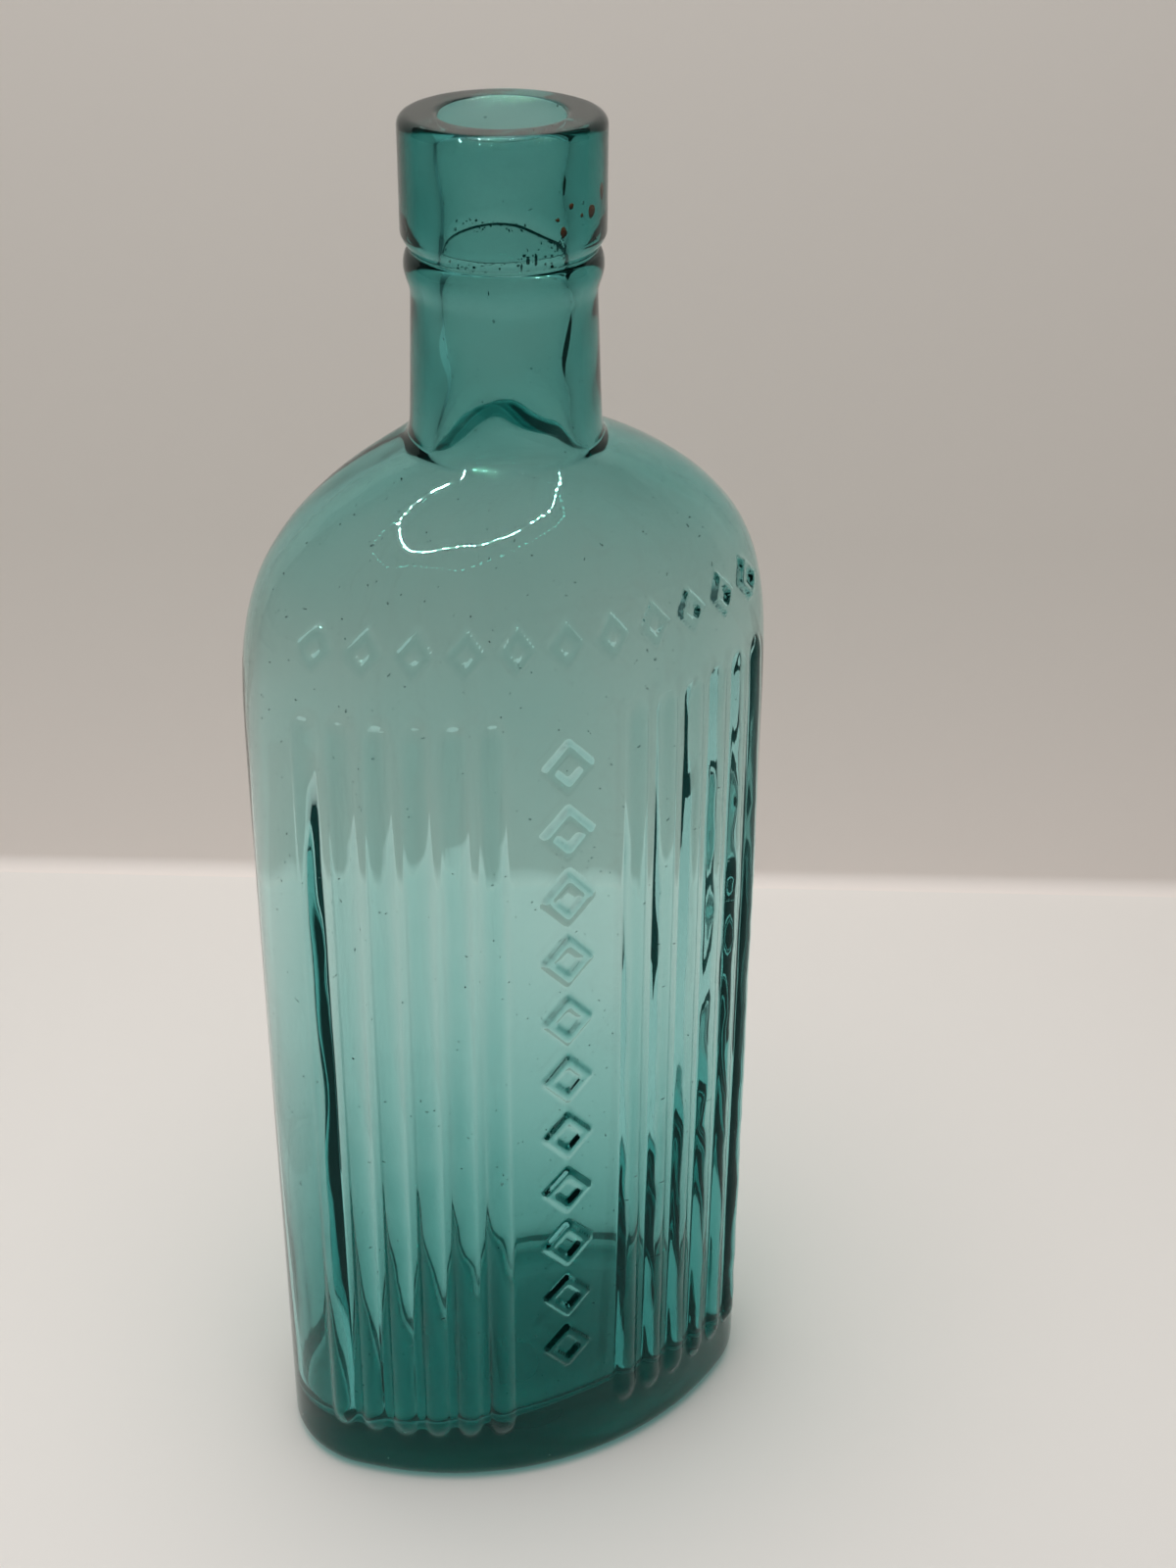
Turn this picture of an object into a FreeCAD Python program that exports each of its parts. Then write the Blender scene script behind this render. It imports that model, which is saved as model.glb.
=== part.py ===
"""Oval ribbed glass bottle with a laid-on collar and string ring.

Frame: +Z up, the bottle stands on Z = 0, X runs along its width and the ribbed front faces -Y.
The origin is at the centre of the base. Sizes are in millimetres, angles in degrees.
"""
import FreeCAD
import Part
import Sketcher
import os

# Driving dimensions, one line each, grouped by the piece they shape.
SIZES = {
    # vessel outline, a four-arc oval in plan
    "total_height": 200.0,
    "body_width": 72.0,
    "body_depth": 44.5,
    "end_radius": 14.7,
    "wall": 2.2,
    "base_thickness": 7.0,
    "floor_radius": 4.0,
    # heel, and the ring that the bottle rests on round a shallow push-up
    "heel_radius": 3.0,
    "rest_width": 4.0,
    "push_up_depth": 0.8,
    # shoulder, a power curve from the oval to the round neck
    "shoulder_height": 54.0,
    "shoulder_power": 5.6,
    "shoulder_roof": 2.0,
    # neck, from its flared foot up to the straight land that carries the ring and the collar
    "bore_radius": 7.4,
    "neck_wall": 4.15,
    "neck_length": 18.3,
    "neck_taper": 0.65,
    "neck_foot_flare": 0.6,
    "neck_foot_height": 1.8,
    "neck_foot_curve": 3.6,
    # collar and string ring
    "collar_height": 15.9,
    "collar_proud": 1.05,
    "collar_underside": 3.1,
    "rim_round": 1.4,
    "mouth_round": 1.0,
    "neck_lap": 1.5,
    "groove_gap": 0.3,
    "ring_height": 5.0,
    "ring_proud": 0.75,
    "land_margin": 0.5,
    # ribs, half-round bars with domed ends, in two banks on the front
    "rib_count": 6,
    "rib_pitch": 4.85,
    "rib_first": 9.9,
    "rib_radius": 2.5,
    "rib_proud": 0.9,
    "rib_foot": 6.5,
    "rib_rise": 25.0,
    # raised lozenges in a column on the front panel and in a row round the shoulder
    "relief": 0.6,
    "relief_root": 1.0,
    "column_foot": 25.0,
    "column_headroom": 7.5,
    "column_pitch": 9.8,
    "column_lozenge_width": 7.2,
    "column_lozenge_height": 8.0,
    "column_stroke": 1.3,
    "row_count": 6,
    "row_pitch": 6.3,
    "row_rise": 34.0,
    "row_lean": 9.0,
    "row_lozenge_width": 5.0,
    "row_lozenge_height": 6.4,
    "row_stroke": 1.1,
}

SHOULDER_SECTIONS = 7
FULL_TURN = 360

doc = FreeCAD.newDocument("bottle")
sheet = doc.addObject("Spreadsheet::Sheet", "dims")
for row, (alias, size) in enumerate(SIZES.items(), start=1):
    sheet.set(f"A{row}", alias)
    sheet.set(f"B{row}", str(size))
    sheet.setAlias(f"B{row}", alias)
doc.recompute()


def linked(words):
    """An expression in which each @alias is linked to its cell."""
    for alias in sorted(SIZES, key=len, reverse=True):
        words = words.replace(f"@{alias}", f"dims.{alias}")
    return words


def value(words):
    """The number an expression has now."""
    return float(sheet.evalExpression(linked(words)))


# Values worked out from the driving dimensions: the oval first.
HALF_WIDTH = "(@body_width / 2)"
HALF_DEPTH = "(@body_depth / 2)"
FRONT_RADIUS = (
    f"(({HALF_WIDTH}^2 + {HALF_DEPTH}^2 - 2 * {HALF_WIDTH} * @end_radius)"
    f" / (2 * ({HALF_DEPTH} - @end_radius)))"
)
FRONT_CENTRE = f"({FRONT_RADIUS} - {HALF_DEPTH})"
# sine and cosine of the angle at which the front arc meets the end arc
JOIN_SINE = f"(({HALF_WIDTH} - @end_radius) / ({FRONT_RADIUS} - @end_radius))"
JOIN_COSINE = f"({FRONT_CENTRE} / ({FRONT_RADIUS} - @end_radius))"

# Levels, from the rim down.
COLLAR_BOTTOM = "(@total_height - @collar_height)"
NECK_END = f"({COLLAR_BOTTOM} + @neck_lap)"
RING_TOP = f"({COLLAR_BOTTOM} - @groove_gap)"
RING_BOTTOM = f"({RING_TOP} - @ring_height)"
LAND_BOTTOM = f"({RING_BOTTOM} - @land_margin)"
SHOULDER_TOP = f"({LAND_BOTTOM} - @neck_length)"
SHOULDER_START = f"({SHOULDER_TOP} - @shoulder_height)"
CAVITY_TOP = f"({SHOULDER_TOP} - @shoulder_roof)"
RIB_TOP = f"({SHOULDER_START} + @rib_rise)"
RIB_BOTTOM = "(@heel_radius + @rib_foot)"

# Radii about the bore's axis.
LAND_RADIUS = "(@bore_radius + @neck_wall)"
NECK_RADIUS = f"({LAND_RADIUS} + @neck_taper)"
FOOT_RADIUS = f"({NECK_RADIUS} + @neck_foot_flare)"
COLLAR_RADIUS = f"({LAND_RADIUS} + @collar_proud)"


def new_body(label):
    """An empty body whose label names its file."""
    body = doc.addObject("PartDesign::Body", label)
    body.Label = label
    return body


def origin_plane(body, role):
    """The body's own origin plane of that role."""
    return next(plane for plane in body.Origin.OriginFeatures if plane.Role == role)


def new_sketch(body, name, role, offset=None):
    """A sketch on an origin plane; offset maps x, y, z of the plane to expressions."""
    sketch = body.newObject("Sketcher::SketchObject", name)
    sketch.AttachmentSupport = [(origin_plane(body, role), "")]
    sketch.MapMode = "FlatFace"
    for axis, words in (offset or {}).items():
        sketch.setExpression(f"AttachmentOffset.Base.{axis}", linked(words))
    return sketch


def bind(sketch, constraint, name, words):
    """Adds a named constraint whose value follows an expression."""
    index = sketch.addConstraint(constraint)
    sketch.renameConstraint(index, name)
    sketch.setExpression(f"Constraints.{name}", linked(words))


def outline(sketch, points, arcs=None):
    """A closed outline through points given as pairs of expressions.

    arcs maps an edge's number to (radius expression, side): the edge is then an arc whose centre lies
    to the left (side 1) or right (side -1) of the way from its first point to its second.
    """
    arcs = arcs or {}
    first = sketch.GeometryCount
    spots = [FreeCAD.Vector(value(x), value(y), 0) for x, y in points]
    ends = []
    for number, spot in enumerate(spots):
        after = spots[(number + 1) % len(spots)]
        if number in arcs:
            words, side = arcs[number]
            radius = value(words)
            along = after - spot
            left = FreeCAD.Vector(-along.y, along.x, 0).normalize()
            rise = max(radius**2 - along.Length**2 / 4, 0.0) ** 0.5
            centre = (spot + after) * 0.5 + left * (side * rise)
            middle = centre - left * (side * radius)
            sketch.addGeometry(Part.Arc(spot, middle, after))
            ends.append((1, 2) if side > 0 else (2, 1))
        else:
            sketch.addGeometry(Part.LineSegment(spot, after))
            ends.append((1, 2))
    for number in range(len(spots)):
        after = (number + 1) % len(spots)
        sketch.addConstraint(
            Sketcher.Constraint(
                "Coincident", first + number, ends[number][1], first + after, ends[after][0]
            )
        )
    for number, (x, y) in enumerate(points):
        edge = first + number
        corner = ends[number][0]
        bind(sketch, Sketcher.Constraint("DistanceX", edge, corner, spots[number].x), f"x{edge}", x)
        bind(sketch, Sketcher.Constraint("DistanceY", edge, corner, spots[number].y), f"y{edge}", y)
    for number, (words, _side) in arcs.items():
        edge = first + number
        bind(sketch, Sketcher.Constraint("Radius", edge, value(words)), f"radius{edge}", words)
    return sketch


def oval(body, name, height, inset="0", share="1", neck="0"):
    """A four-arc oval section: the body's oval less an inset, blended by its share with a neck circle."""
    front = f"({share} * ({FRONT_RADIUS} - {inset}) + (1 - {share}) * {neck})"
    end = f"({share} * (@end_radius - {inset}) + (1 - {share}) * {neck})"
    side = f"({front} * {JOIN_SINE})"
    face = f"({front} * {JOIN_COSINE} - {share} * {FRONT_CENTRE})"
    corners = [
        (f"-1 * {side}", f"-1 * {face}"),
        (side, f"-1 * {face}"),
        (side, face),
        (f"-1 * {side}", face),
    ]
    sketch = new_sketch(body, name, "XY_Plane", {"z": height})
    return outline(sketch, corners, {0: (front, 1), 1: (end, 1), 2: (front, 1), 3: (end, 1)})


def shoulder_share(rise):
    """How much of the oval is left at a rise up the shoulder, from 0 at its start to 1 at its top."""
    return f"(1 - {rise}^@shoulder_power)"


def shoulder_sections(body, name, top, inset, neck):
    """The shoulder's sections from the oval wall up to the round neck."""
    sections = []
    for step in range(SHOULDER_SECTIONS):
        rise = step / (SHOULDER_SECTIONS - 1)
        height = f"({SHOULDER_START} + {rise} * ({top} - {SHOULDER_START}))"
        sections.append(oval(body, f"{name}_{step}", height, inset, shoulder_share(rise), neck))
    return sections


def feature(body, kind, name, profile, **numbers):
    """A feature on a profile; numbers maps its properties to expressions."""
    made = body.newObject(f"PartDesign::{kind}", name)
    made.Profile = profile
    for key, words in numbers.items():
        made.setExpression(key, linked(words))
    return made


def loft(body, kind, name, sections):
    """A smooth loft through sections."""
    made = feature(body, kind, name, sections[0])
    made.Sections = sections[1:]
    return made


def turned(body, name, points, arcs, offset=None):
    """A solid of revolution about the vertical axis of its sketch."""
    sketch = outline(new_sketch(body, f"{name}_profile", "XZ_Plane", offset), points, arcs)
    made = feature(body, "Revolution", name, sketch)
    made.ReferenceAxis = (sketch, ["V_Axis"])
    made.Angle = FULL_TURN
    return made


def edges_at(shape, height):
    """Names of the edges that lie flat at a height."""
    slack = 1e-4
    return [
        f"Edge{number}"
        for number, edge in enumerate(shape.Edges, start=1)
        if all(abs(bound - height) < slack for bound in (edge.BoundBox.ZMin, edge.BoundBox.ZMax))
    ]


def rounded(body, name, base, height, radius):
    """A fillet on the edges of a feature that lie flat at a height."""
    doc.recompute()
    made = body.newObject("PartDesign::Fillet", name)
    made.Base = (base, edges_at(base.Shape, value(height)))
    made.setExpression("Radius", linked(radius))
    return made


def swung(body, name, original, axis, step, count, backwards):
    """Copies of a feature swung round an axis sketch's normal."""
    doc.recompute()
    made = body.newObject("PartDesign::PolarPattern", name)
    made.Originals = [original]
    made.Axis = (axis, ["N_Axis"])
    made.Reversed = backwards
    made.setExpression("Angle", linked(f"({count} - 1) * {step}"))
    made.setExpression("Occurrences", linked(count))
    body.Tip = made
    return made


def axis_sketch(body, name, depth):
    """A sketch with one point, whose normal is an upright axis at that depth."""
    sketch = new_sketch(body, name, "XY_Plane", {"y": depth})
    sketch.addGeometry(Part.Point(FreeCAD.Vector(0, 0, 0)))
    sketch.addConstraint(Sketcher.Constraint("Coincident", 0, 1, -1, 1))
    return sketch


def face_angle(distance, radius):
    """Degrees turned by an arc distance along a curved face."""
    return f"({distance} / {radius} * 180 / pi)"


def raise_ribs(body):
    """Two banks of half-round ribs, swung round the axis of the front arc."""
    axis = axis_sketch(body, "front_axis", FRONT_CENTRE)
    reach = f"({FRONT_RADIUS} + @rib_proud - @rib_radius)"
    turn = face_angle("@rib_first", FRONT_RADIUS)
    step = face_angle("@rib_pitch", FRONT_RADIUS)
    half_chord = "sqrt(2 * @rib_radius * @rib_proud - @rib_proud^2)"
    low = f"({RIB_BOTTOM} + {half_chord})"
    high = f"({RIB_TOP} - {half_chord})"
    points = [
        ("0", f"{low} - @rib_radius"),
        ("@rib_radius", low),
        ("@rib_radius", high),
        ("0", f"{high} + @rib_radius"),
    ]
    domes = {0: ("@rib_radius", 1), 2: ("@rib_radius", 1)}
    for side, bank in ((1, "right"), (-1, "left")):
        place = {
            "x": f"{side} * {reach} * sin({turn})",
            "z": f"{reach} * cos({turn}) - {FRONT_CENTRE}",
        }
        rib = turned(body, f"{bank}_rib", points, domes, place)
        swung(body, f"{bank}_ribs", rib, axis, step, "@rib_count", side < 0)


def lozenge(body, name, width, height, stroke, place):
    """A raised lozenge, a stroke round an open middle, rooted in the wall and standing proud of it."""
    sketch = new_sketch(body, f"{name}_outline", "XZ_Plane", place)
    middle = f"(1 - 2 * {stroke} * sqrt({width}^2 + {height}^2) / ({width} * {height}))"
    for share in ("1", middle):
        half_width = f"({share} * {width} / 2)"
        half_height = f"({share} * {height} / 2)"
        points = [
            ("0", f"-1 * {half_height}"),
            (half_width, "0"),
            ("0", half_height),
            (f"-1 * {half_width}", "0"),
        ]
        outline(sketch, points)
    return feature(body, "Pad", name, sketch, Length="@relief_root + @relief")


def raise_column(body):
    """Lozenges up the front panel, as many as there is height for."""
    place = {"y": "@column_foot", "z": f"{HALF_DEPTH} - @relief_root"}
    width = "@column_lozenge_width"
    height = "@column_lozenge_height"
    first = lozenge(body, "panel_lozenge", width, height, "@column_stroke", place)
    gaps = f"floor(({RIB_TOP} - @column_headroom - @column_foot) / @column_pitch)"
    column = body.newObject("PartDesign::LinearPattern", "lozenge_column")
    column.Originals = [first]
    column.Direction = (first.Profile[0], ["V_Axis"])
    column.setExpression("Length", linked(f"{gaps} * @column_pitch"))
    column.setExpression("Occurrences", linked(f"{gaps} + 1"))
    body.Tip = column


def raise_row(body):
    """Lozenges round the shoulder, each way from the middle of the front, leaning back with it."""
    share = shoulder_share("(@row_rise / @shoulder_height)")
    radius = f"({share} * {FRONT_RADIUS} + (1 - {share}) * {FOOT_RADIUS})"
    centre = f"({share} * {FRONT_CENTRE})"
    axis = axis_sketch(body, "row_axis", centre)
    place = {"y": f"{SHOULDER_START} + @row_rise", "z": f"{radius} - {centre} - @relief_root"}
    width = "@row_lozenge_width"
    height = "@row_lozenge_height"
    first = lozenge(body, "shoulder_lozenge", width, height, "@row_stroke", place)
    sketch = first.Profile[0]
    level = FreeCAD.Vector(1, 0, 0)
    sketch.AttachmentOffset = FreeCAD.Placement(
        FreeCAD.Vector(), FreeCAD.Rotation(level, value("-1 * @row_lean"))
    )
    sketch.setExpression("AttachmentOffset.Rotation.Angle", linked("-1 * @row_lean"))
    step = face_angle("@row_pitch", radius)
    for backwards, bank in ((False, "right"), (True, "left")):
        swung(body, f"{bank}_lozenge_row", first, axis, step, "@row_count", backwards)


def raise_neck(body):
    """The neck, from its flared foot up to the end that the collar laps."""
    points = [
        ("0", CAVITY_TOP),
        (FOOT_RADIUS, CAVITY_TOP),
        (FOOT_RADIUS, SHOULDER_TOP),
        (NECK_RADIUS, f"{SHOULDER_TOP} + @neck_foot_height"),
        (LAND_RADIUS, LAND_BOTTOM),
        (LAND_RADIUS, NECK_END),
        ("0", NECK_END),
    ]
    turned(body, "neck", points, {2: ("@neck_foot_curve", -1)})


def hollow(body):
    """The bore, the shoulder's inside and the oval cavity with its rounded floor."""
    outline_sketch = new_sketch(body, "bore_outline", "XY_Plane", {"z": NECK_END})
    upright = FreeCAD.Vector(0, 0, 1)
    outline_sketch.addGeometry(Part.Circle(FreeCAD.Vector(0, 0, 0), upright, value("@bore_radius")))
    outline_sketch.addConstraint(Sketcher.Constraint("Coincident", 0, 3, -1, 1))
    bind(outline_sketch, Sketcher.Constraint("Radius", 0, value("@bore_radius")), "bore", "@bore_radius")
    feature(body, "Pocket", "bore", outline_sketch, Length=f"{NECK_END} - {CAVITY_TOP}")
    inside = shoulder_sections(body, "cavity_section", CAVITY_TOP, "@wall", "@bore_radius")
    loft(body, "SubtractiveLoft", "shoulder_cavity", inside)
    cavity_outline = oval(body, "cavity_outline", SHOULDER_START, "@wall")
    depth = f"{SHOULDER_START} - @base_thickness"
    cavity = feature(body, "Pocket", "cavity", cavity_outline, Length=depth)
    rounded(body, "floor_edge", cavity, "@base_thickness", "@floor_radius")


def make_blown_body():
    """The blown vessel: oval wall, heel, shoulder, neck, ribs and relief, then its push-up and hollow."""
    body = new_body("blown_body")
    wall = feature(body, "Pad", "outer_wall", oval(body, "base_outline", "0"), Length=SHOULDER_START)
    rounded(body, "heel", wall, "0", "@heel_radius")
    outside = shoulder_sections(body, "shoulder_section", SHOULDER_TOP, "0", FOOT_RADIUS)
    loft(body, "AdditiveLoft", "shoulder", outside)
    raise_neck(body)
    raise_ribs(body)
    raise_column(body)
    raise_row(body)
    push_up_outline = oval(body, "push_up_outline", "0", "(@heel_radius + @rest_width)")
    push_up = feature(body, "Pocket", "push_up", push_up_outline, Length="@push_up_depth")
    push_up.Reversed = True
    hollow(body)
    return body


def make_string_ring():
    """A half-round thread of glass laid on the neck's land."""
    body = new_body("string_ring")
    half = "(@ring_height / 2)"
    bulge = f"(({half}^2 + @ring_proud^2) / (2 * @ring_proud))"
    points = [
        (LAND_RADIUS, RING_BOTTOM),
        (f"{LAND_RADIUS} + @ring_proud", f"{RING_BOTTOM} + {half}"),
        (LAND_RADIUS, RING_TOP),
    ]
    turned(body, "ring", points, {0: (bulge, 1), 1: (bulge, 1)})
    return body


def make_collar():
    """The laid-on collar: it laps the neck's end, swells to a plain band and is rounded at its mouth."""
    body = new_body("collar")
    underside = "((@collar_underside^2 + @collar_proud^2) / (2 * @collar_proud))"
    points = [
        (LAND_RADIUS, COLLAR_BOTTOM),
        (COLLAR_RADIUS, f"{COLLAR_BOTTOM} + @collar_underside"),
        (COLLAR_RADIUS, "@total_height - @rim_round"),
        (f"{COLLAR_RADIUS} - @rim_round", "@total_height"),
        ("@bore_radius + @mouth_round", "@total_height"),
        ("@bore_radius", "@total_height - @mouth_round"),
        ("@bore_radius", NECK_END),
        (LAND_RADIUS, NECK_END),
    ]
    arcs = {0: (underside, 1), 2: ("@rim_round", 1), 4: ("@mouth_round", 1)}
    turned(body, "lip", points, arcs)
    return body


def check(bodies):
    """Stops the run if anything failed, is empty or is not one valid solid."""
    for thing in doc.Objects:
        failed = {"Invalid", "Error"} & set(thing.State)
        if failed:
            raise RuntimeError(f"{thing.Name} failed: {thing.State}")
    for body in bodies:
        shape = body.Shape
        if shape.isNull() or not shape.isValid() or len(shape.Solids) != 1:
            raise RuntimeError(f"{body.Label} is not one valid solid")


bodies = [make_blown_body(), make_string_ring(), make_collar()]
doc.recompute()
check(bodies)
os.makedirs("parts", exist_ok=True)
for body in bodies:
    body.Placement = FreeCAD.Placement()
    body.Shape.exportStep(f"parts/{body.Label}.step")
    box = body.Shape.optimalBoundingBox(False, False)
    print(
        f"{body.Label}: volume {body.Shape.Volume:.1f}, X {box.XMin:.2f} to {box.XMax:.2f},"
        f" Y {box.YMin:.2f} to {box.YMax:.2f}, Z {box.ZMin:.2f} to {box.ZMax:.2f}"
    )
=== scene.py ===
"""Looks of an oval, ribbed poison bottle in teal glass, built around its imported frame.

The bottle stands on Z = 0 with its ribbed front towards -Y. Lengths are in millimetres, as on a glassworks
drawing, and turn into metres only where a mesh or a node input is filled in.
"""

import logging
import math
from dataclasses import dataclass, field
from enum import Enum
from typing import ClassVar

import bmesh
import bpy
import numpy as np
from mathutils import Matrix, Vector


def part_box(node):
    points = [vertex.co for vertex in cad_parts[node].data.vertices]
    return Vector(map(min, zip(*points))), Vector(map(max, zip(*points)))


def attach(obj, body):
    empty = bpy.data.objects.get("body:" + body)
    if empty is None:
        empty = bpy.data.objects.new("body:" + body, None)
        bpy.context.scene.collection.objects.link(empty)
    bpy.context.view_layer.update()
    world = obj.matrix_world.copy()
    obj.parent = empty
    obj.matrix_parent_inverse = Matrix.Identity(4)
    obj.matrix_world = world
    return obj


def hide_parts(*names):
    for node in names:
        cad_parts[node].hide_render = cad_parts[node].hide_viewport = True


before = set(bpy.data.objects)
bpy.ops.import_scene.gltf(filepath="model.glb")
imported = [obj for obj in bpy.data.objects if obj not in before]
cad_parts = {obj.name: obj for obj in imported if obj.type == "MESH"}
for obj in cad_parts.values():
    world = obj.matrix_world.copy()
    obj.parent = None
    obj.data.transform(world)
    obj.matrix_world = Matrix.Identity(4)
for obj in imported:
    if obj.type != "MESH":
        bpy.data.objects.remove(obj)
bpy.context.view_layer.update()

MM = 0.001
LEAST_STEP = 0.12
BORE_RADIUS = 7.4
MATH = "ShaderNodeMath"
LOG = logging.getLogger("poison_bottle")


def linear(hex_colour: str) -> tuple[float, float, float, float]:
    """Turns an sRGB colour such as #80A0C0 into linear values.

    Args:
        hex_colour: Colour as written in a paint program.
    Returns:
        Red, green, blue and alpha for a shader socket.
    """
    shares = [int(hex_colour[start:start + 2], 16) / 255 for start in (1, 3, 5)]
    values = [share / 12.92 if share <= 0.04045 else ((share + 0.055) / 1.055) ** 2.4 for share in shares]
    return (*values, 1.0)


def add_node(tree: bpy.types.NodeTree, kind: str, inputs: dict | list = (), **settings) -> bpy.types.Node:
    """Adds a node to a tree.

    Args:
        tree: Node tree that gets the node.
        kind: Blender's name for the type of node.
        inputs: Values by socket name, or in the order of the sockets. Sockets are linked, the rest is set.
        settings: Properties of the node itself.
    Returns:
        The new node.
    """
    node = tree.nodes.new(kind)
    for name, value in settings.items():
        setattr(node, name, value)
    pairs = inputs.items() if isinstance(inputs, dict) else enumerate(inputs)
    for key, value in pairs:
        sources = value if isinstance(value, list) else [value]
        for source in sources:
            if isinstance(source, bpy.types.NodeSocket):
                tree.links.new(source, node.inputs[key])
            else:
                node.inputs[key].default_value = source
    return node


def grow(tree: bpy.types.NodeTree, known: dict, steps: list) -> None:
    """Adds a chain of nodes, one for each step.

    Args:
        tree: Node tree that gets the nodes.
        known: Sockets by name. The first output of each new node joins it under the step's name.
        steps: Rows of name, kind of node, settings and inputs. An input that is a known name is linked.
    """
    for name, kind, settings, inputs in steps:
        sockets = [known[part] if isinstance(part, str) else part for part in inputs]
        known[name] = add_node(tree, kind, sockets, **settings).outputs[0]


def apply_tree(piece: bpy.types.Object, tree: bpy.types.NodeTree, values: dict) -> None:
    """Runs a geometry node tree on a piece and keeps the result as its plain mesh.

    Args:
        piece: Object whose mesh is replaced.
        tree: Geometry node tree with named inputs.
        values: Input values by name. Inputs left out keep their defaults.
    """
    modifier = piece.modifiers.new(tree.name, "NODES")
    modifier.node_group = tree
    for item in tree.interface.items_tree:
        if item.in_out == "INPUT" and item.name in values:
            modifier[item.identifier] = values[item.name]
    graph = bpy.context.evaluated_depsgraph_get()
    result = bpy.data.meshes.new_from_object(piece.evaluated_get(graph), depsgraph=graph)
    piece.modifiers.remove(modifier)
    blank = piece.data
    piece.data = result
    bpy.data.meshes.remove(blank)
    result.name = piece.name


def new_tree(name: str, values: dict) -> tuple[bpy.types.NodeTree, dict]:
    """Starts a geometry node tree.

    Args:
        name: Name of the tree.
        values: Values of the inputs by name, which give the sockets their types. The geometry comes first.
    Returns:
        The tree, and its inputs as sockets by name.
    """
    kinds = {float: "NodeSocketFloat", int: "NodeSocketInt", bpy.types.Material: "NodeSocketMaterial"}
    tree = bpy.data.node_groups.new(name, "GeometryNodeTree")
    tree.interface.new_socket("Geometry", in_out="INPUT", socket_type="NodeSocketGeometry")
    for label, value in values.items():
        tree.interface.new_socket(label, in_out="INPUT", socket_type=kinds[type(value)])
    tree.interface.new_socket("Geometry", in_out="OUTPUT", socket_type="NodeSocketGeometry")
    entry = add_node(tree, "NodeGroupInput")
    return tree, {socket.name: socket for socket in entry.outputs if socket.name}


def close_tree(tree: bpy.types.NodeTree, shape: bpy.types.NodeSocket, finish: bpy.types.NodeSocket) -> None:
    """Ends a geometry node tree with real faces that carry a material.

    Args:
        tree: Geometry node tree.
        shape: Geometry that the tree hands on.
        finish: Material input of the tree.
    """
    real = add_node(tree, "GeometryNodeRealizeInstances", [shape])
    dressed = add_node(tree, "GeometryNodeSetMaterial", {"Geometry": real.outputs[0], "Material": finish})
    add_node(tree, "NodeGroupOutput", [dressed.outputs[0]])


def strew(tree: bpy.types.NodeTree, spots: bpy.types.NodeSocket, facing: bpy.types.NodeSocket,
          grain: bpy.types.NodeSocket, stretches: tuple) -> bpy.types.NodeSocket:
    """Sets a grain on every spot, turned in the surface and stretched by chance.

    Args:
        tree: Geometry node tree that gets the nodes.
        spots: Points that get a grain.
        facing: Rotation of the surface at the points.
        grain: Mesh of one grain.
        stretches: Least and greatest stretch along the grain's three axes.
    Returns:
        The grains as instances.
    """
    angle = add_node(tree, "FunctionNodeRandomValue", {2: 0.0, 3: math.pi, "Seed": 2}, data_type="FLOAT")
    twist = add_node(tree, "FunctionNodeAxisAngleToRotation", {
        "Axis": (0.0, 0.0, 1.0), "Angle": angle.outputs[1]})
    turned = add_node(tree, "FunctionNodeRotateRotation", [facing, twist.outputs[0]], rotation_space="LOCAL")
    stretch = add_node(tree, "FunctionNodeRandomValue", {
        0: stretches[0], 1: stretches[1], "Seed": 3}, data_type="FLOAT_VECTOR")
    placed = add_node(tree, "GeometryNodeInstanceOnPoints", {
        "Points": spots, "Instance": grain, "Rotation": turned.outputs[0], "Scale": stretch.outputs[0]})
    return placed.outputs[0]


def new_piece(name: str, points: list | np.ndarray, faces: list) -> bpy.types.Object:
    """Makes an object at the origin from points in millimetres.

    Args:
        name: Name of the object and of its mesh.
        points: Rows of x, y and z.
        faces: Lists of point numbers, outward faces anticlockwise.
    Returns:
        The object, linked to the scene.
    """
    mesh = bpy.data.meshes.new(name)
    mesh.from_pydata((np.asarray(points) * MM).tolist(), [], faces)
    mesh.shade_smooth()
    piece = bpy.data.objects.new(name, mesh)
    bpy.context.scene.collection.objects.link(piece)
    return piece


def new_material(name: str) -> tuple[bpy.types.Material, bpy.types.NodeTree]:
    """Starts a material with an empty node tree.

    Args:
        name: Name of the material.
    Returns:
        The material and its tree.
    """
    material = bpy.data.materials.new(name)
    material.use_nodes = True
    material.node_tree.nodes.clear()
    return material, material.node_tree


def spread(*stretches: tuple[float, float, float]) -> np.ndarray:
    """Spaces levels along stretches that all rise or all fall.

    Args:
        stretches: Rows of start, end and step.
    Returns:
        The levels, without those that repeat the one before.
    """
    levels = np.concatenate([np.arange(*stretch) for stretch in stretches])
    return levels[np.append(True, np.abs(np.diff(levels)) > LEAST_STEP)]


class Surface(Enum):
    """Stretches of the glass skin, each with its own columns and its own ripple."""

    WALL = "moulded wall"
    FINISH = "neck and collar"
    BORE = "bore"
    CAVITY = "inside"


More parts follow.
